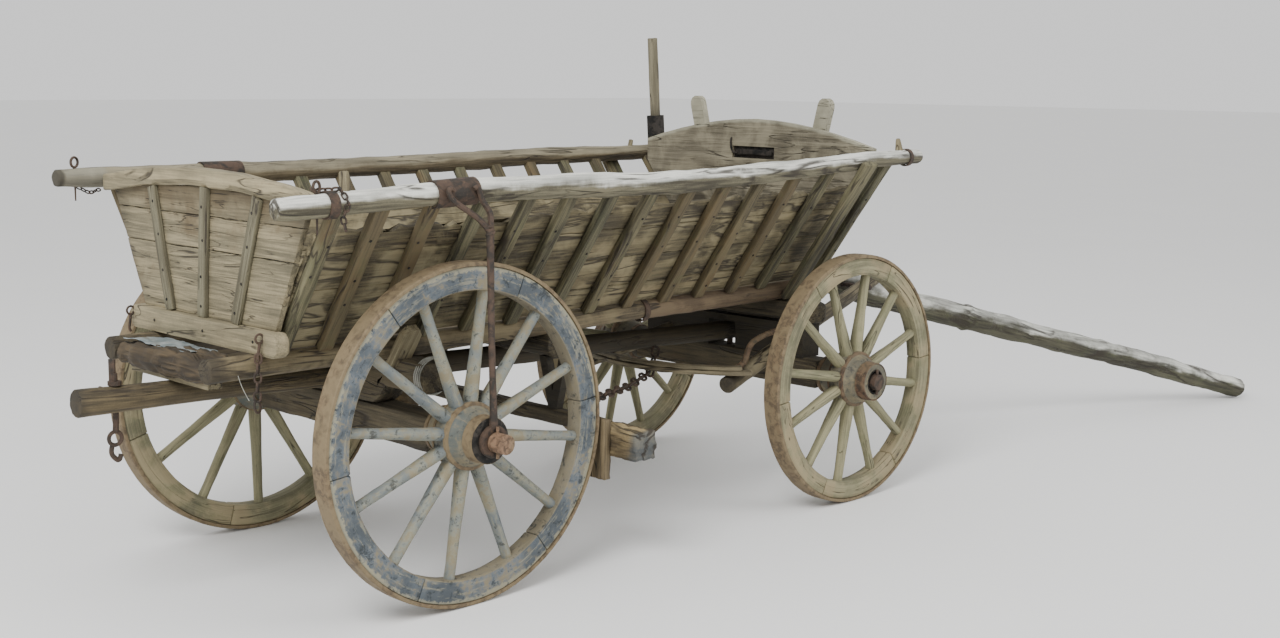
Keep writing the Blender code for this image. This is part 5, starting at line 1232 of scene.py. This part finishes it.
def spoke_model(root, tip):
    """Oval spoke along X, fuller at the nave and waisted before the felloe."""
    rows = [(root, 0.040, 0.056), (root + 0.03, 0.041, 0.055), (root + 0.09, 0.039, 0.049),
            (root + (tip - root) * 0.55, 0.034, 0.040), (tip - 0.05, 0.032, 0.036),
            (tip - 0.016, 0.033, 0.037), (tip, 0.033, 0.037)]
    fresh()
    bpy.ops.mesh.primitive_circle_add(vertices=16, radius=0.5, fill_type="NGON",
                                      rotation=(0, math.pi / 2, 0))
    made = bpy.context.object
    bpy.ops.object.transform_apply(location=True, rotation=True, scale=True)
    bpy.ops.object.mode_set(mode="EDIT")
    bpy.ops.mesh.select_all(action="SELECT")
    bpy.ops.transform.resize(value=(1, rows[0][1], rows[0][2]), center_override=(0, 0, 0))
    bpy.ops.transform.translate(value=(rows[0][0], 0, 0))
    for before, after in zip(rows, rows[1:]):
        pieces = 3 if after[0] - before[0] > 0.08 else 1
        for part in range(pieces):
            move = (after[0] - before[0]) / pieces
            wide = (after[1] / before[1]) ** (1 / pieces)
            deep = (after[2] / before[2]) ** (1 / pieces)
            bpy.ops.mesh.extrude_region_move(TRANSFORM_OT_translate={"value": (move, 0, 0)})
            bpy.ops.transform.resize(value=(1, wide, deep), center_override=(0, 0, 0))
    fresh()
    return close_mesh(made)


def tyre_ring(radius, inner):
    """Iron tyre about Z, a little crowned, with rounded edges."""
    half, round_off = 0.034, 0.003
    return turned([(radius, 0.031), (radius + 0.0006, 0.024), (radius + 0.001, 0.0),
                   (radius + 0.0006, -0.024), (radius, -0.031),
                   (radius - round_off, -0.0338), (inner, -half), (inner, half),
                   (radius - round_off, 0.0338)], 96)


def felloe_ring(rng, middle, depth, phase):
    """Felloes about Z with hair gaps between them, each with a grain that follows its arc."""
    felloes = []
    share, gap = math.tau / FELLOES, 0.0007
    for index in range(FELLOES):
        start = phase - share / 4 + index * share + gap
        arc = spun(depth - 0.0006, 0.062 + rng.uniform(-0.0015, 0.0), middle, start,
                   share - 2 * gap, 16)
        soften(arc, 0.0055)
        mark_grain(arc, rng, lambda co, faced=start + share / 2: Vector((
            middle * ((math.atan2(co.y, co.x) - faced + math.pi) % math.tau),
            co.xy.length, co.z)))
        felloes.append(arc)
    return joined(felloes)


def spoke_ring(rng, tip, phase):
    model = spoke_model(0.088, tip)
    spokes = []
    for index in range(SPOKES):
        spoke = twin(model, Matrix.Identity(4))
        mark_grain(spoke, rng)
        put(spoke, turn(phase + index * math.tau / SPOKES, "Z")
            @ turn(rng.uniform(-0.06, 0.06), "X"))
        spokes.append(spoke)
    bpy.data.objects.remove(model)
    return joined(spokes)


def nave_bands():
    """Four iron bands driven onto the nave."""
    return joined([turned(profile, 48) for profile in (
        [(0.0672, 0.113), (0.0712, 0.112), (0.0735, 0.072), (0.0695, 0.071)],
        [(0.094, 0.0335), (0.1042, 0.031), (0.1052, 0.022), (0.095, 0.0215)],
        [(0.095, -0.0245), (0.1052, -0.025), (0.1042, -0.0345), (0.094, -0.037)],
        [(0.071, -0.098), (0.0755, -0.0985), (0.0735, -0.1135), (0.069, -0.113)])])


def hub_bush(hooped):
    """Iron bush in the nave's mouth; the rear ones have a hoop round it."""
    bush = turned([(0.0335, 0.0848), (0.044, 0.0852), (0.0465, 0.090), (0.0465, 0.1135),
                   (0.0425, 0.1135), (0.041, 0.090), (0.0335, 0.0885)], 32)
    if not hooped:
        return bush
    return joined([bush, turned([(0.0462, 0.1125), (0.0655, 0.1115), (0.0690, 0.1090),
                                 (0.0695, 0.1140), (0.0660, 0.1165), (0.0462, 0.1165)], 40)])


def make_wheels(sizes):
    """Wheels, each shaped about Z and then turned to its hub; only the near rear one is blue."""
    rng = random.Random(81)
    for end, x, half_track, radius, depth, left_phase, right_phase in WHEELS:
        rear = end == "rear"
        wood = "painted_wood" if rear else "wheel_wood"
        tread_inner = radius - 0.012
        middle = tread_inner - depth / 2 - SEAT_GAP
        for name, side in SIDES:
            wheel = f"{end}_{name}"
            body, node = f"wheel_{wheel}", f"wheel_{wheel}"
            hub = shift(x, side * half_track, radius) @ turn(-side * math.pi / 2, "X")
            phase = math.radians(-left_phase if side > 0 else right_phase)
            paint = "blue" if rear and side < 0 else "olive"

            tyre = weather(put(tyre_ring(radius, tread_inner), hub), hub, 0.0016, 0, 0.05)
            settle(tyre, f"worn_tyre_{wheel}", body, "tyre_iron", "tread", f"tyre_{wheel}")
            rim = weather(put(felloe_ring(rng, middle, depth, phase), hub), hub, 0.0022, 0, 0.06)
            settle(rim, f"felloes_{wheel}", body, wood, f"{paint}_felloe", node)
            spokes = put(spoke_ring(rng, tread_inner - depth + 0.006, phase), hub)
            settle(weather(spokes, hub, 0.0025, 0, 0.05), f"spokes_{wheel}", body, wood,
                   f"{paint}_spoke", node)
            nave = mark_grain(turned(NAVE, 48), rng, lambda co: Vector((
                co.z, 0.1 * math.atan2(co.y, co.x), 0)))
            settle(weather(put(nave, hub), hub, 0.0012, 0, 0.03), f"nave_{wheel}", body, wood,
                   "nave" if rear else "brown_nave", node)
            settle(put(nave_bands(), hub), f"nave_bands_{wheel}", body, "tyre_iron",
                   "tread" if rear else "band")
            settle(put(hub_bush(rear), hub), f"hub_bush_{wheel}", body, "iron", "black_iron")


# Ironwork

def make_fork_rods(sizes):
    """Forged forks that hold the top rails up from the rear axle's ends."""
    for name, side in SIDES:
        base = flank(side)
        eye_y = REAR_HALF_TRACK + NAVE_HALF_LENGTH + 0.006 + 0.011
        clamp_up = table_value(TOP_RAILS[side], -0.078, 1)
        rail = base @ Vector((-0.078, clamp_up, 0))
        arm_y = abs(rail.y) + 0.037 + 0.005 + 0.009
        ring = turned([(0.048, 0.010), (0.050, 0.0), (0.048, -0.010), (0.034, -0.011),
                       (0.0304, -0.009), (0.0304, 0.009), (0.034, 0.011)], 32)
        put(ring, shift(0, side * eye_y, REAR_RADIUS) @ turn(math.pi / 2, "X"))
        y = side * eye_y
        mid = side * (eye_y + arm_y) / 2
        top = side * arm_y
        stem = bar([spot(0, y, 0.566), spot(0.001, y, 0.62), spot(-0.006, y, 0.80),
                    spot(-0.008, y, 1.02), spot(-0.010, y, 1.158)],
                   0.011, 12, 3, [1.25, 1.0, 0.95, 0.9, 1.15])
        rear_arm = bar([spot(-0.010, y, 1.146), spot(-0.030, (y + mid) / 2, 1.176),
                        spot(-0.070, mid, 1.205), spot(-0.118, top, rail.z - 0.022),
                        spot(-0.132, top, rail.z - 0.006), spot(-0.139, top, rail.z + 0.010),
                        spot(-0.126, top, rail.z + 0.020), spot(-0.117, top, rail.z + 0.008)],
                       0.0088, 10, 3, [1.1, 1.05, 1, 1, 0.95, 0.9, 0.85, 0.7])
        front_arm = bar([spot(-0.010, y, 1.140), spot(0.000, (y + mid) / 2, 1.176),
                         spot(0.003, mid, 1.204), spot(-0.016, top, rail.z - 0.022),
                         spot(-0.024, top, rail.z + 0.004), spot(-0.034, top, rail.z + 0.021),
                         spot(-0.044, top, rail.z + 0.012)],
                        0.0088, 10, 3, [1.1, 1.05, 1, 1, 0.95, 0.9, 0.75])
        wrap = [spot(-0.009 + 0.011 * math.cos(a), y + 0.011 * math.sin(a), 1.128 + 0.0035 * a)
                for a in [i * 0.5 for i in range(22)]]
        twist = bar(wrap, 0.0042, 8, 3)
        rod = joined([ring, stem, rear_arm, front_arm, twist])
        weather(rod, Matrix.Identity(4), 0.0015, 0, 0.02)
        settle(rod, f"forged_fork_{name}", "wagon", "iron", "iron", f"fork_rod_{name}")


def rail_spot(side, x, around_angle=0.0, off=0.0):
    """Point on a top rail's surface, turned round its middle from the ladder's outward side."""
    up, radius = table_value(TOP_RAILS[side], x, 1), table_value(TOP_RAILS[side], x, 2)
    middle = flank(side) @ Vector((x, up, 0))
    reach = radius + off
    return middle + Vector((0, side * reach * math.cos(around_angle),
                            reach * math.sin(around_angle)))


def make_tail_iron(sizes):
    """Hooks on the tail sill, one with its hanging chain and ring."""
    iron = []
    wire = sizes.link_wire
    sill_x, sill_z = TAIL_X - 0.048, 0.835
    for y, drop, links in ((-0.352, 0.165, True), (0.402, 0.060, False)):
        ring = spot(sill_x - 0.010, y, sill_z + 0.012)
        iron.append(eye(0.013, 0.0035, Matrix.Translation(ring) @ turn(math.pi / 2, "X")))
        iron.append(bar([spot(sill_x + 0.008, y, sill_z + 0.004),
                         spot(sill_x - 0.004, y, sill_z + 0.004)], 0.004))
        hook = [spot(sill_x - 0.010, y, sill_z), spot(sill_x - 0.014, y, sill_z - 0.030),
                spot(sill_x - 0.018, y, sill_z - 0.045), spot(sill_x - 0.012, y, sill_z - 0.055)]
        iron.append(bar(hook, 0.0045))
        if links:
            iron.append(chain([spot(sill_x - 0.015, y, sill_z - 0.045),
                               spot(sill_x - 0.019, y + 0.004, sill_z - drop)], 0.036, wire))
            end = spot(sill_x - 0.019, y + 0.004, sill_z - drop - 0.020)
            iron.append(eye(0.017, wire, Matrix.Translation(end) @ turn(1.35, "X")
                            @ turn(0.5, "Y")))
    settle(joined(iron), "tail_hooks_and_chain", "tailboard", "iron", "iron")


def make_rail_iron(sizes):
    """Rings, pins, bands and thin chains of the top rails."""
    iron = []
    for side, x in ((1, -0.600), (-1, -0.535)):
        top = rail_spot(side, x, math.pi / 2, 0.018)
        iron.append(eye(0.016, 0.0042, Matrix.Translation(top) @ turn(math.pi / 2, "X")
                        @ turn(0.4, "Y")))
        low = rail_spot(side, x, -math.pi / 2, 0.045)
        iron.append(bar([rail_spot(side, x, math.pi / 2, 0.002), low], 0.0045, 8, 2, [1, 0.55]))
    for side, x, width in ((-1, -0.497, 0.030), (-1, 2.098, 0.018)):
        radius = table_value(TOP_RAILS[side], x, 2) + 0.0012
        up = table_value(TOP_RAILS[side], x, 1)
        ring = turned([(radius, width / 2), (radius + 0.005, width / 2),
                       (radius + 0.005, -width / 2), (radius, -width / 2)], 32)
        iron.append(put(ring, flank(side) @ Matrix.Translation((x, up, 0))
                        @ turn(math.pi / 2, "Y")))
    side = -1
    iron.append(chain([rail_spot(side, -0.535, 1.9, 0.012), rail_spot(side, -0.500, 2.2, 0.014),
                       rail_spot(side, -0.470, 1.2, 0.012), rail_spot(side, -0.462, 0.1, 0.010),
                       rail_spot(side, -0.468, -1.0, 0.012),
                       rail_spot(side, -0.462, -1.2, 0.050)], 0.026, 0.0030))
    iron.append(chain([rail_spot(1, -0.590, -0.9, 0.006), rail_spot(1, -0.545, -1.3, 0.024),
                       rail_spot(1, -0.500, -1.0, 0.020)], 0.020, 0.0022))
    settle(joined(iron), "rail_rings_and_chain", "wagon", "iron", "iron")


def make_brake_chain(sizes):
    """Chain that sags under the reach."""
    brake = chain([spot(0.740, -0.360, 0.500), spot(0.860, -0.270, 0.478),
                   spot(1.120, -0.150, 0.464), spot(1.335, -0.050, 0.478),
                   spot(1.400, -0.020, 0.565)], 0.054, 0.0050)
    settle(brake, "brake_chain", "wagon", "iron", "iron")


def make_reach_hook(sizes):
    """Pin, eye and hook at the reach's tail, and the bands of the bed rails."""
    x = -0.820
    links = [bar([spot(x, 0, 0.640), spot(x, 0, 0.585), spot(x - 0.002, 0, 0.560)], 0.0085, 10, 3,
                 [1, 1, 1.15]),
             eye(0.020, 0.0062, shift(x - 0.004, 0, 0.540) @ turn(math.pi / 2, "X")),
             bar([spot(x - 0.010, 0.004, 0.524), spot(x - 0.020, 0.004, 0.500),
                  spot(x - 0.004, 0.004, 0.478), spot(x + 0.010, 0.004, 0.470),
                  spot(x + 0.014, 0.004, 0.490)], 0.0075, 10, 3)]
    strap = timber(0.100, 0.024, 0.007, 6, 1, 0.002)
    links.append(put(strap, shift(x, 0.012, 0.722) @ turn(-math.pi / 2, "Y") @ turn(0.3, "X")))
    links.append(eye(0.014, 0.004, shift(x - 0.030, 0.004, 0.688) @ turn(0.5, "Y")))
    for side in (1, -1):
        ring = turned([(0.0362, 0.013), (0.0405, 0.012), (0.0405, -0.012), (0.0362, -0.013)], 32)
        links.append(put(ring, shift(1.048, side * RAIL_HALF_SPACING, rail_height(1.048))
                         @ turn(math.pi / 2, "Y")))
    settle(joined(links), "reach_hook", "wagon", "iron", "iron")


def make_pegs(sizes):
    """Wooden pegs in the top rails."""
    rng = random.Random(91)
    pegs = []
    for side, x, angle, length, radius in ((-1, -0.440, 1.9, 0.075, 0.017),
                                           (-1, 2.062, 1.85, 0.066, 0.0185),
                                           (1, 1.900, 1.5, 0.040, 0.011)):
        start = rail_spot(side, x, angle, -0.020)
        end = rail_spot(side, x + 0.012, angle, length - 0.020)
        rows = [(0, 0, 0, radius), ((end - start).length, 0, 0,
                                    radius * (0.45 if radius > 0.018 else 0.85))]
        peg = grown(pole_stations(rows, rng, 0.012, 0.001, 0.04, 0, 0.004), 14)
        mark_grain(peg, rng)
        pegs.append(put(peg, along_line(start, end, (1, 0, 0))))
    settle(joined(pegs), "rail_pegs", "wagon", "slat_wood", "stump")


def make_nails(sizes):
    """Nail heads where slats and battens are fixed."""
    rng = random.Random(92)
    places = []
    for name, side in SIDES:
        base = flank(side)
        for x in SLAT_PLACES:
            for up in (0.10, 0.21, 0.33, 0.45):
                if rng.random() < 0.75:
                    places.append(base @ Matrix.Translation(
                        (x + rng.uniform(-0.010, 0.010), up + rng.uniform(-0.02, 0.02),
                         -side * 0.0148)))
    settle(nail_heads(places), "slat_nails", "wagon", "iron", "black_iron")
    places = []
    for foot_y, head_y in TAIL_BATTENS:
        for z in (0.90, 0.99, 1.10, 1.20):
            y = foot_y + (head_y - foot_y) * (z - TAIL_FOOT_Z) / 0.39 + rng.uniform(-0.008, 0.008)
            places.append(shift(TAIL_X - 0.0362, y, z) @ turn(-math.pi / 2, "Y"))
    for y in (-0.30, -0.02, 0.27):
        places.append(shift(TAIL_X - 0.0485, y, 0.83) @ turn(-math.pi / 2, "Y"))
    settle(nail_heads(places), "tail_nails", "tailboard", "iron", "black_iron")


def make_braces(sizes):
    """Bent wrought bars from the hounds up to the block."""
    for name, _ in SIDES:
        low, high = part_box(f"brace_{name}")
        y = (low.y + high.y) / 2
        xs = [low.x - AXLE_X, 1.520, 1.555, 1.690, high.x - AXLE_X]
        strap = bar([Vector((low.x, y, low.z + 0.005)), spot(xs[1], y, low.z + 0.016),
                     spot(1.535, y, 0.560), spot(1.556, y, 0.602), spot(1.600, y, 0.618),
                     spot(xs[3], y, 0.638), Vector((high.x, y, high.z - 0.004))],
                    0.0125, 12, 3, [1.1, 1.0, 0.9, 0.95, 0.9, 0.9, 1.0])
        weather(strap, Matrix.Identity(4), 0.002, 0, 0.02)
        settle(strap, f"wrought_brace_{name}", "fore_carriage", "iron", "band", f"brace_{name}")


def make_slot_iron(sizes):
    """Dark iron plate over the front board's slot, with the bent hook beside it."""
    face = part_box("front_board")[0].x
    plate = timber(0.246, 0.056, 0.004, 14, 4, 0.0015)
    place = shift(1.975 + 0.004, 0, 1.296) @ CROSSWISE
    put(plate, place)
    weather(plate, place, 0.006, 0, 0.05)
    strap = timber(0.190, 0.020, 0.004, 18, 2, 0.0012)
    reshape(strap, lambda y: (0.004 * math.cos(y * 16), -0.010 * math.cos(y * 16.5)))
    put(strap, Matrix.Translation((face + 0.002, -0.004, 1.294)) @ CROSSWISE)
    hook = bar([Vector((face + 0.004, 0.116, 1.352)), Vector((face - 0.004, 0.116, 1.352)),
                Vector((face - 0.006, 0.116, 1.335)), Vector((face - 0.006, 0.112, 1.305)),
                Vector((face - 0.006, 0.098, 1.292)), Vector((face - 0.004, 0.080, 1.292))],
               0.004)
    settle(joined([plate, strap, hook]), "front_slot_iron", "wagon", "iron", "black_iron")


def make_post(sizes):
    """Square post that leans at the front corner."""
    rng = random.Random(93)
    low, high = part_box("corner_post")
    start = Vector(((low.x + high.x) / 2, (low.y + high.y) / 2, low.z))
    tilt = math.radians(4.0)
    run = (high.z - low.z) / 2 * math.tan(tilt)
    bottom = Vector((start.x + run, start.y, low.z + 0.002))
    top = Vector((start.x - run, start.y, high.z - 0.002))
    length = (top - bottom).length
    post = timber(length, 0.0325, 0.0325, 20, 2, 0.004, 2)
    seat(post, rng, along_line(bottom, top, (0, 1, 0)), 0.003, 0.0015,
         inner=Matrix.Translation((length / 2, 0, 0)))
    settle(post, "old_corner_post", "wagon", "board_wood", "post", "corner_post")


def make_wire(sizes):
    """Pale wire wound round the rear bolster's end, and the thin wire by the tail chain."""
    middle = Vector((AXLE_X, -0.428, BOLSTER_TOP - 0.044))
    coil = []
    for index in range(64):
        angle = index * 0.42
        coil.append(middle + Vector((0.060 * math.cos(angle), 0.0006 * index - 0.02,
                                     0.058 * math.sin(angle))))
    wound = bar(coil, 0.0021, 6, 3)
    thin = bar([spot(-0.600, -0.300, 0.765), spot(-0.610, -0.330, 0.720),
                spot(-0.590, -0.350, 0.672)], 0.0012, 6, 3)
    settle(joined([wound, thin]), "wound_wire", "wagon", "iron", "wire")


# Studio

FLOOR_SIZE = 160
LAMPS = (("key", (-7.0, -3.0, 6.5), (-0.8, 0, 0.7), 4.0, 620),   # place, aim, metres across, watts
         ("side", (2.0, -8.0, 5.0), (0.3, 0, 0.7), 5.0, 230))
CAMERA_PLACE = (-5.0112, -4.3374, 1.5981)
CAMERA_YAW = math.radians(45.043)
CAMERA_PITCH = math.radians(8.535)
CAMERA_ROLL = math.radians(0.573)
SENSOR_WIDTH, LENS = 36.0, 45.58    # millimetres


def make_stage():
    """Pale floor, even white surroundings, soft light and the camera."""
    fresh()
    bpy.ops.mesh.primitive_plane_add(size=FLOOR_SIZE, location=(0, 0, -0.001))
    ground = bpy.context.object
    ground.name = "studio_floor"
    f = Finish("pale_studio_floor")
    cloud = f.noise(f.place, 3.0, 0.5, 0.0, 0.8)
    f.end(f.blend(cloud, (0.86, 0.86, 0.85), (0.89, 0.89, 0.88)), cloud * 0.05 + 0.9)
    ground.data.materials.append(f.material)

    world = bpy.data.worlds.new("studio_light")
    bpy.context.scene.world = world
    world.use_nodes = True
    back = world.node_tree.nodes["Background"]
    back.inputs["Color"].default_value = (1.0, 1.0, 1.0, 1.0)
    back.inputs["Strength"].default_value = 1.0

    for name, place, aim, size, power in LAMPS:
        bpy.ops.object.light_add(type="AREA", location=place)
        lamp = bpy.context.object
        lamp.name = f"{name}_light"
        lamp.data.shape = "DISK"
        lamp.data.size = size
        lamp.data.energy = power
        lamp.rotation_euler = (Vector(aim) - Vector(place)).to_track_quat("-Z", "Y").to_euler()

    flat = math.cos(CAMERA_PITCH)
    forward = Vector((flat * math.cos(CAMERA_YAW), flat * math.sin(CAMERA_YAW),
                      -math.sin(CAMERA_PITCH)))
    level = Vector((forward.y, -forward.x, 0)).normalized()
    upright = level.cross(forward)
    right = level * math.cos(CAMERA_ROLL) + upright * math.sin(CAMERA_ROLL)
    up = upright * math.cos(CAMERA_ROLL) - level * math.sin(CAMERA_ROLL)
    bpy.ops.object.camera_add()
    camera = bpy.context.object
    camera.matrix_world = (Matrix.Translation(CAMERA_PLACE)
                           @ Matrix((right, up, -forward)).transposed().to_4x4())
    camera.data.sensor_width = SENSOR_WIDTH
    camera.data.lens = LENS
    bpy.context.scene.camera = camera


# Add-on: sizes, colours, operators and panel

class CartSizes(bpy.types.PropertyGroup):
    """Sizes of the worn timbers and of the ironwork."""
    slat_width: bpy.props.FloatProperty(
        name="Slat width", description="Width of the ladders' slats", default=0.045,
        min=0.03, max=0.06, unit="LENGTH")
    furrow: bpy.props.FloatProperty(
        name="Furrows", description="Depth of the furrows along rails and poles", default=0.004,
        min=0.0, max=0.01, unit="LENGTH")
    link_wire: bpy.props.FloatProperty(
        name="Link wire", description="Radius of the wire of the tail chain's links",
        default=0.0036, min=0.002, max=0.006, unit="LENGTH")


def colour(name, description, default):
    return bpy.props.FloatVectorProperty(name=name, description=description, default=default,
                                         subtype="COLOR", size=3, min=0.0, max=1.0)


class CartColours(bpy.types.PropertyGroup):
    """Main colours of the finishes."""
    board: colour("Boards", "Dry beige of the tailboard", (0.41, 0.345, 0.225))
    # Colour of upward faces: real bleaching together with a painted highlight from above.
    silver: colour("Silvered wood", "Bleached upper side of rail and pole", (0.78, 0.77, 0.71))
    paint: colour("Blue paint", "Faded blue-grey paint", (0.083, 0.092, 0.105))
    olive: colour("Olive wood", "Grey-olive wood of the other wheels", (0.27, 0.245, 0.155))
    rust: colour("Rust", "Rust of rods and chains", (0.100, 0.060, 0.041))
    dust: colour("Dust", "Dry dust in low places", (0.26, 0.21, 0.13))
    moss: colour("Moss", "Green algae on damp wood", (0.13, 0.145, 0.065))
    deepening: bpy.props.FloatVectorProperty(
        name="Deepening", description="Powers that red, green and blue are raised to",
        default=(1.18, 1.145, 1.15), size=3, min=0.5, max=2.0)


def carry_out(context, *makers):
    """Run the makers of one step, which need the finishes."""
    if not FINISHES:
        raise RuntimeError("The step named Finishes comes before the pieces.")
    for maker in makers:
        maker(context.scene.ladder_cart_sizes)
    return {"FINISHED"}


class CART_OT_stage(bpy.types.Operator):
    """Set up the pale floor, the soft light and the camera"""
    bl_idname = "ladder_cart.stage"
    bl_label = "Stage"

    def execute(self, context):
        make_stage()
        return {"FINISHED"}


class CART_OT_finishes(bpy.types.Operator):
    """Make every finish from the panel's colours and dress the frame with them"""
    bl_idname = "ladder_cart.finishes"
    bl_label = "Finishes"

    def execute(self, context):
        make_finishes(context.scene.ladder_cart_colours)
        dress_frame()
        return {"FINISHED"}


class CART_OT_bed(bpy.types.Operator):
    """Natural bed rails, the reach and the split cross log"""
    bl_idname = "ladder_cart.bed"
    bl_label = "Bed rails"

    def execute(self, context):
        return carry_out(context, make_bed_rails, make_reach, make_cross_log, make_stumps)


class CART_OT_ladders(bpy.types.Operator):
    """Top rails, slats, tall stakes and pegs"""
    bl_idname = "ladder_cart.ladders"
    bl_label = "Ladders"

    def execute(self, context):
        return carry_out(context, make_ladders, make_pegs)


class CART_OT_side_boards(bpy.types.Operator):
    """Warped side boards"""
    bl_idname = "ladder_cart.side_boards"
    bl_label = "Side boards"

    def execute(self, context):
        return carry_out(context, make_side_boards)


class CART_OT_tailboard(bpy.types.Operator):
    """Sill, battens, planks and arch"""
    bl_idname = "ladder_cart.tailboard"
    bl_label = "Tailboard"

    def execute(self, context):
        return carry_out(context, make_tailboard)


class CART_OT_front(bpy.types.Operator):
    """Slot iron and corner post"""
    bl_idname = "ladder_cart.front"
    bl_label = "Front"

    def execute(self, context):
        return carry_out(context, make_slot_iron, make_post)


class CART_OT_brake(bpy.types.Operator):
    """Rotten blocks and worn shoes"""
    bl_idname = "ladder_cart.brake"
    bl_label = "Brake"

    def execute(self, context):
        return carry_out(context, make_brake)


class CART_OT_fore_carriage(bpy.types.Operator):
    """Hounds, sway bar, braces and cross beams"""
    bl_idname = "ladder_cart.fore_carriage"
    bl_label = "Fore-carriage"

    def execute(self, context):
        return carry_out(context, make_hounds, make_braces, make_beams)


class CART_OT_pole(bpy.types.Operator):
    """Old draught pole"""
    bl_idname = "ladder_cart.pole"
    bl_label = "Pole"

    def execute(self, context):
        return carry_out(context, make_pole)


class CART_OT_wheels(bpy.types.Operator):
    """Tyres, felloes, spokes and naves"""
    bl_idname = "ladder_cart.wheels"
    bl_label = "Wheels"

    def execute(self, context):
        return carry_out(context, make_wheels)


class CART_OT_forks(bpy.types.Operator):
    """Forged fork rods"""
    bl_idname = "ladder_cart.forks"
    bl_label = "Fork rods"

    def execute(self, context):
        return carry_out(context, make_fork_rods)


class CART_OT_ironwork(bpy.types.Operator):
    """Chains, rings, nails and wire"""
    bl_idname = "ladder_cart.ironwork"
    bl_label = "Ironwork"

    def execute(self, context):
        return carry_out(context, make_tail_iron, make_rail_iron, make_brake_chain,
                         make_reach_hook, make_nails, make_wire)


OPERATORS = [
    CART_OT_stage, CART_OT_finishes, CART_OT_bed, CART_OT_ladders, CART_OT_side_boards,
    CART_OT_tailboard, CART_OT_front, CART_OT_brake, CART_OT_fore_carriage, CART_OT_pole,
    CART_OT_wheels, CART_OT_forks, CART_OT_ironwork,
]


class CART_PT_panel(bpy.types.Panel):
    """Sizes, colours and steps of the ladder cart"""
    bl_idname = "CART_PT_panel"
    bl_label = "Ladder Cart"
    bl_space_type = "VIEW_3D"
    bl_region_type = "UI"
    bl_category = "Ladder Cart"

    def draw(self, context):
        for group in (context.scene.ladder_cart_sizes, context.scene.ladder_cart_colours):
            box = self.layout.box()
            for key in group.__annotations__:
                box.prop(group, key)
        for step in OPERATORS:
            self.layout.operator(step.bl_idname)


CLASSES = [CartSizes, CartColours, *OPERATORS, CART_PT_panel]


def register():
    for item in CLASSES:
        bpy.utils.register_class(item)
    bpy.types.Scene.ladder_cart_sizes = bpy.props.PointerProperty(type=CartSizes)
    bpy.types.Scene.ladder_cart_colours = bpy.props.PointerProperty(type=CartColours)


def unregister():
    del bpy.types.Scene.ladder_cart_sizes
    del bpy.types.Scene.ladder_cart_colours
    for item in reversed(CLASSES):
        bpy.utils.unregister_class(item)


def main():
    register()
    for step in OPERATORS:
        group, name = step.bl_idname.split(".")
        getattr(getattr(bpy.ops, group), name)()
    fresh()


if __name__ == "__main__":
    main()
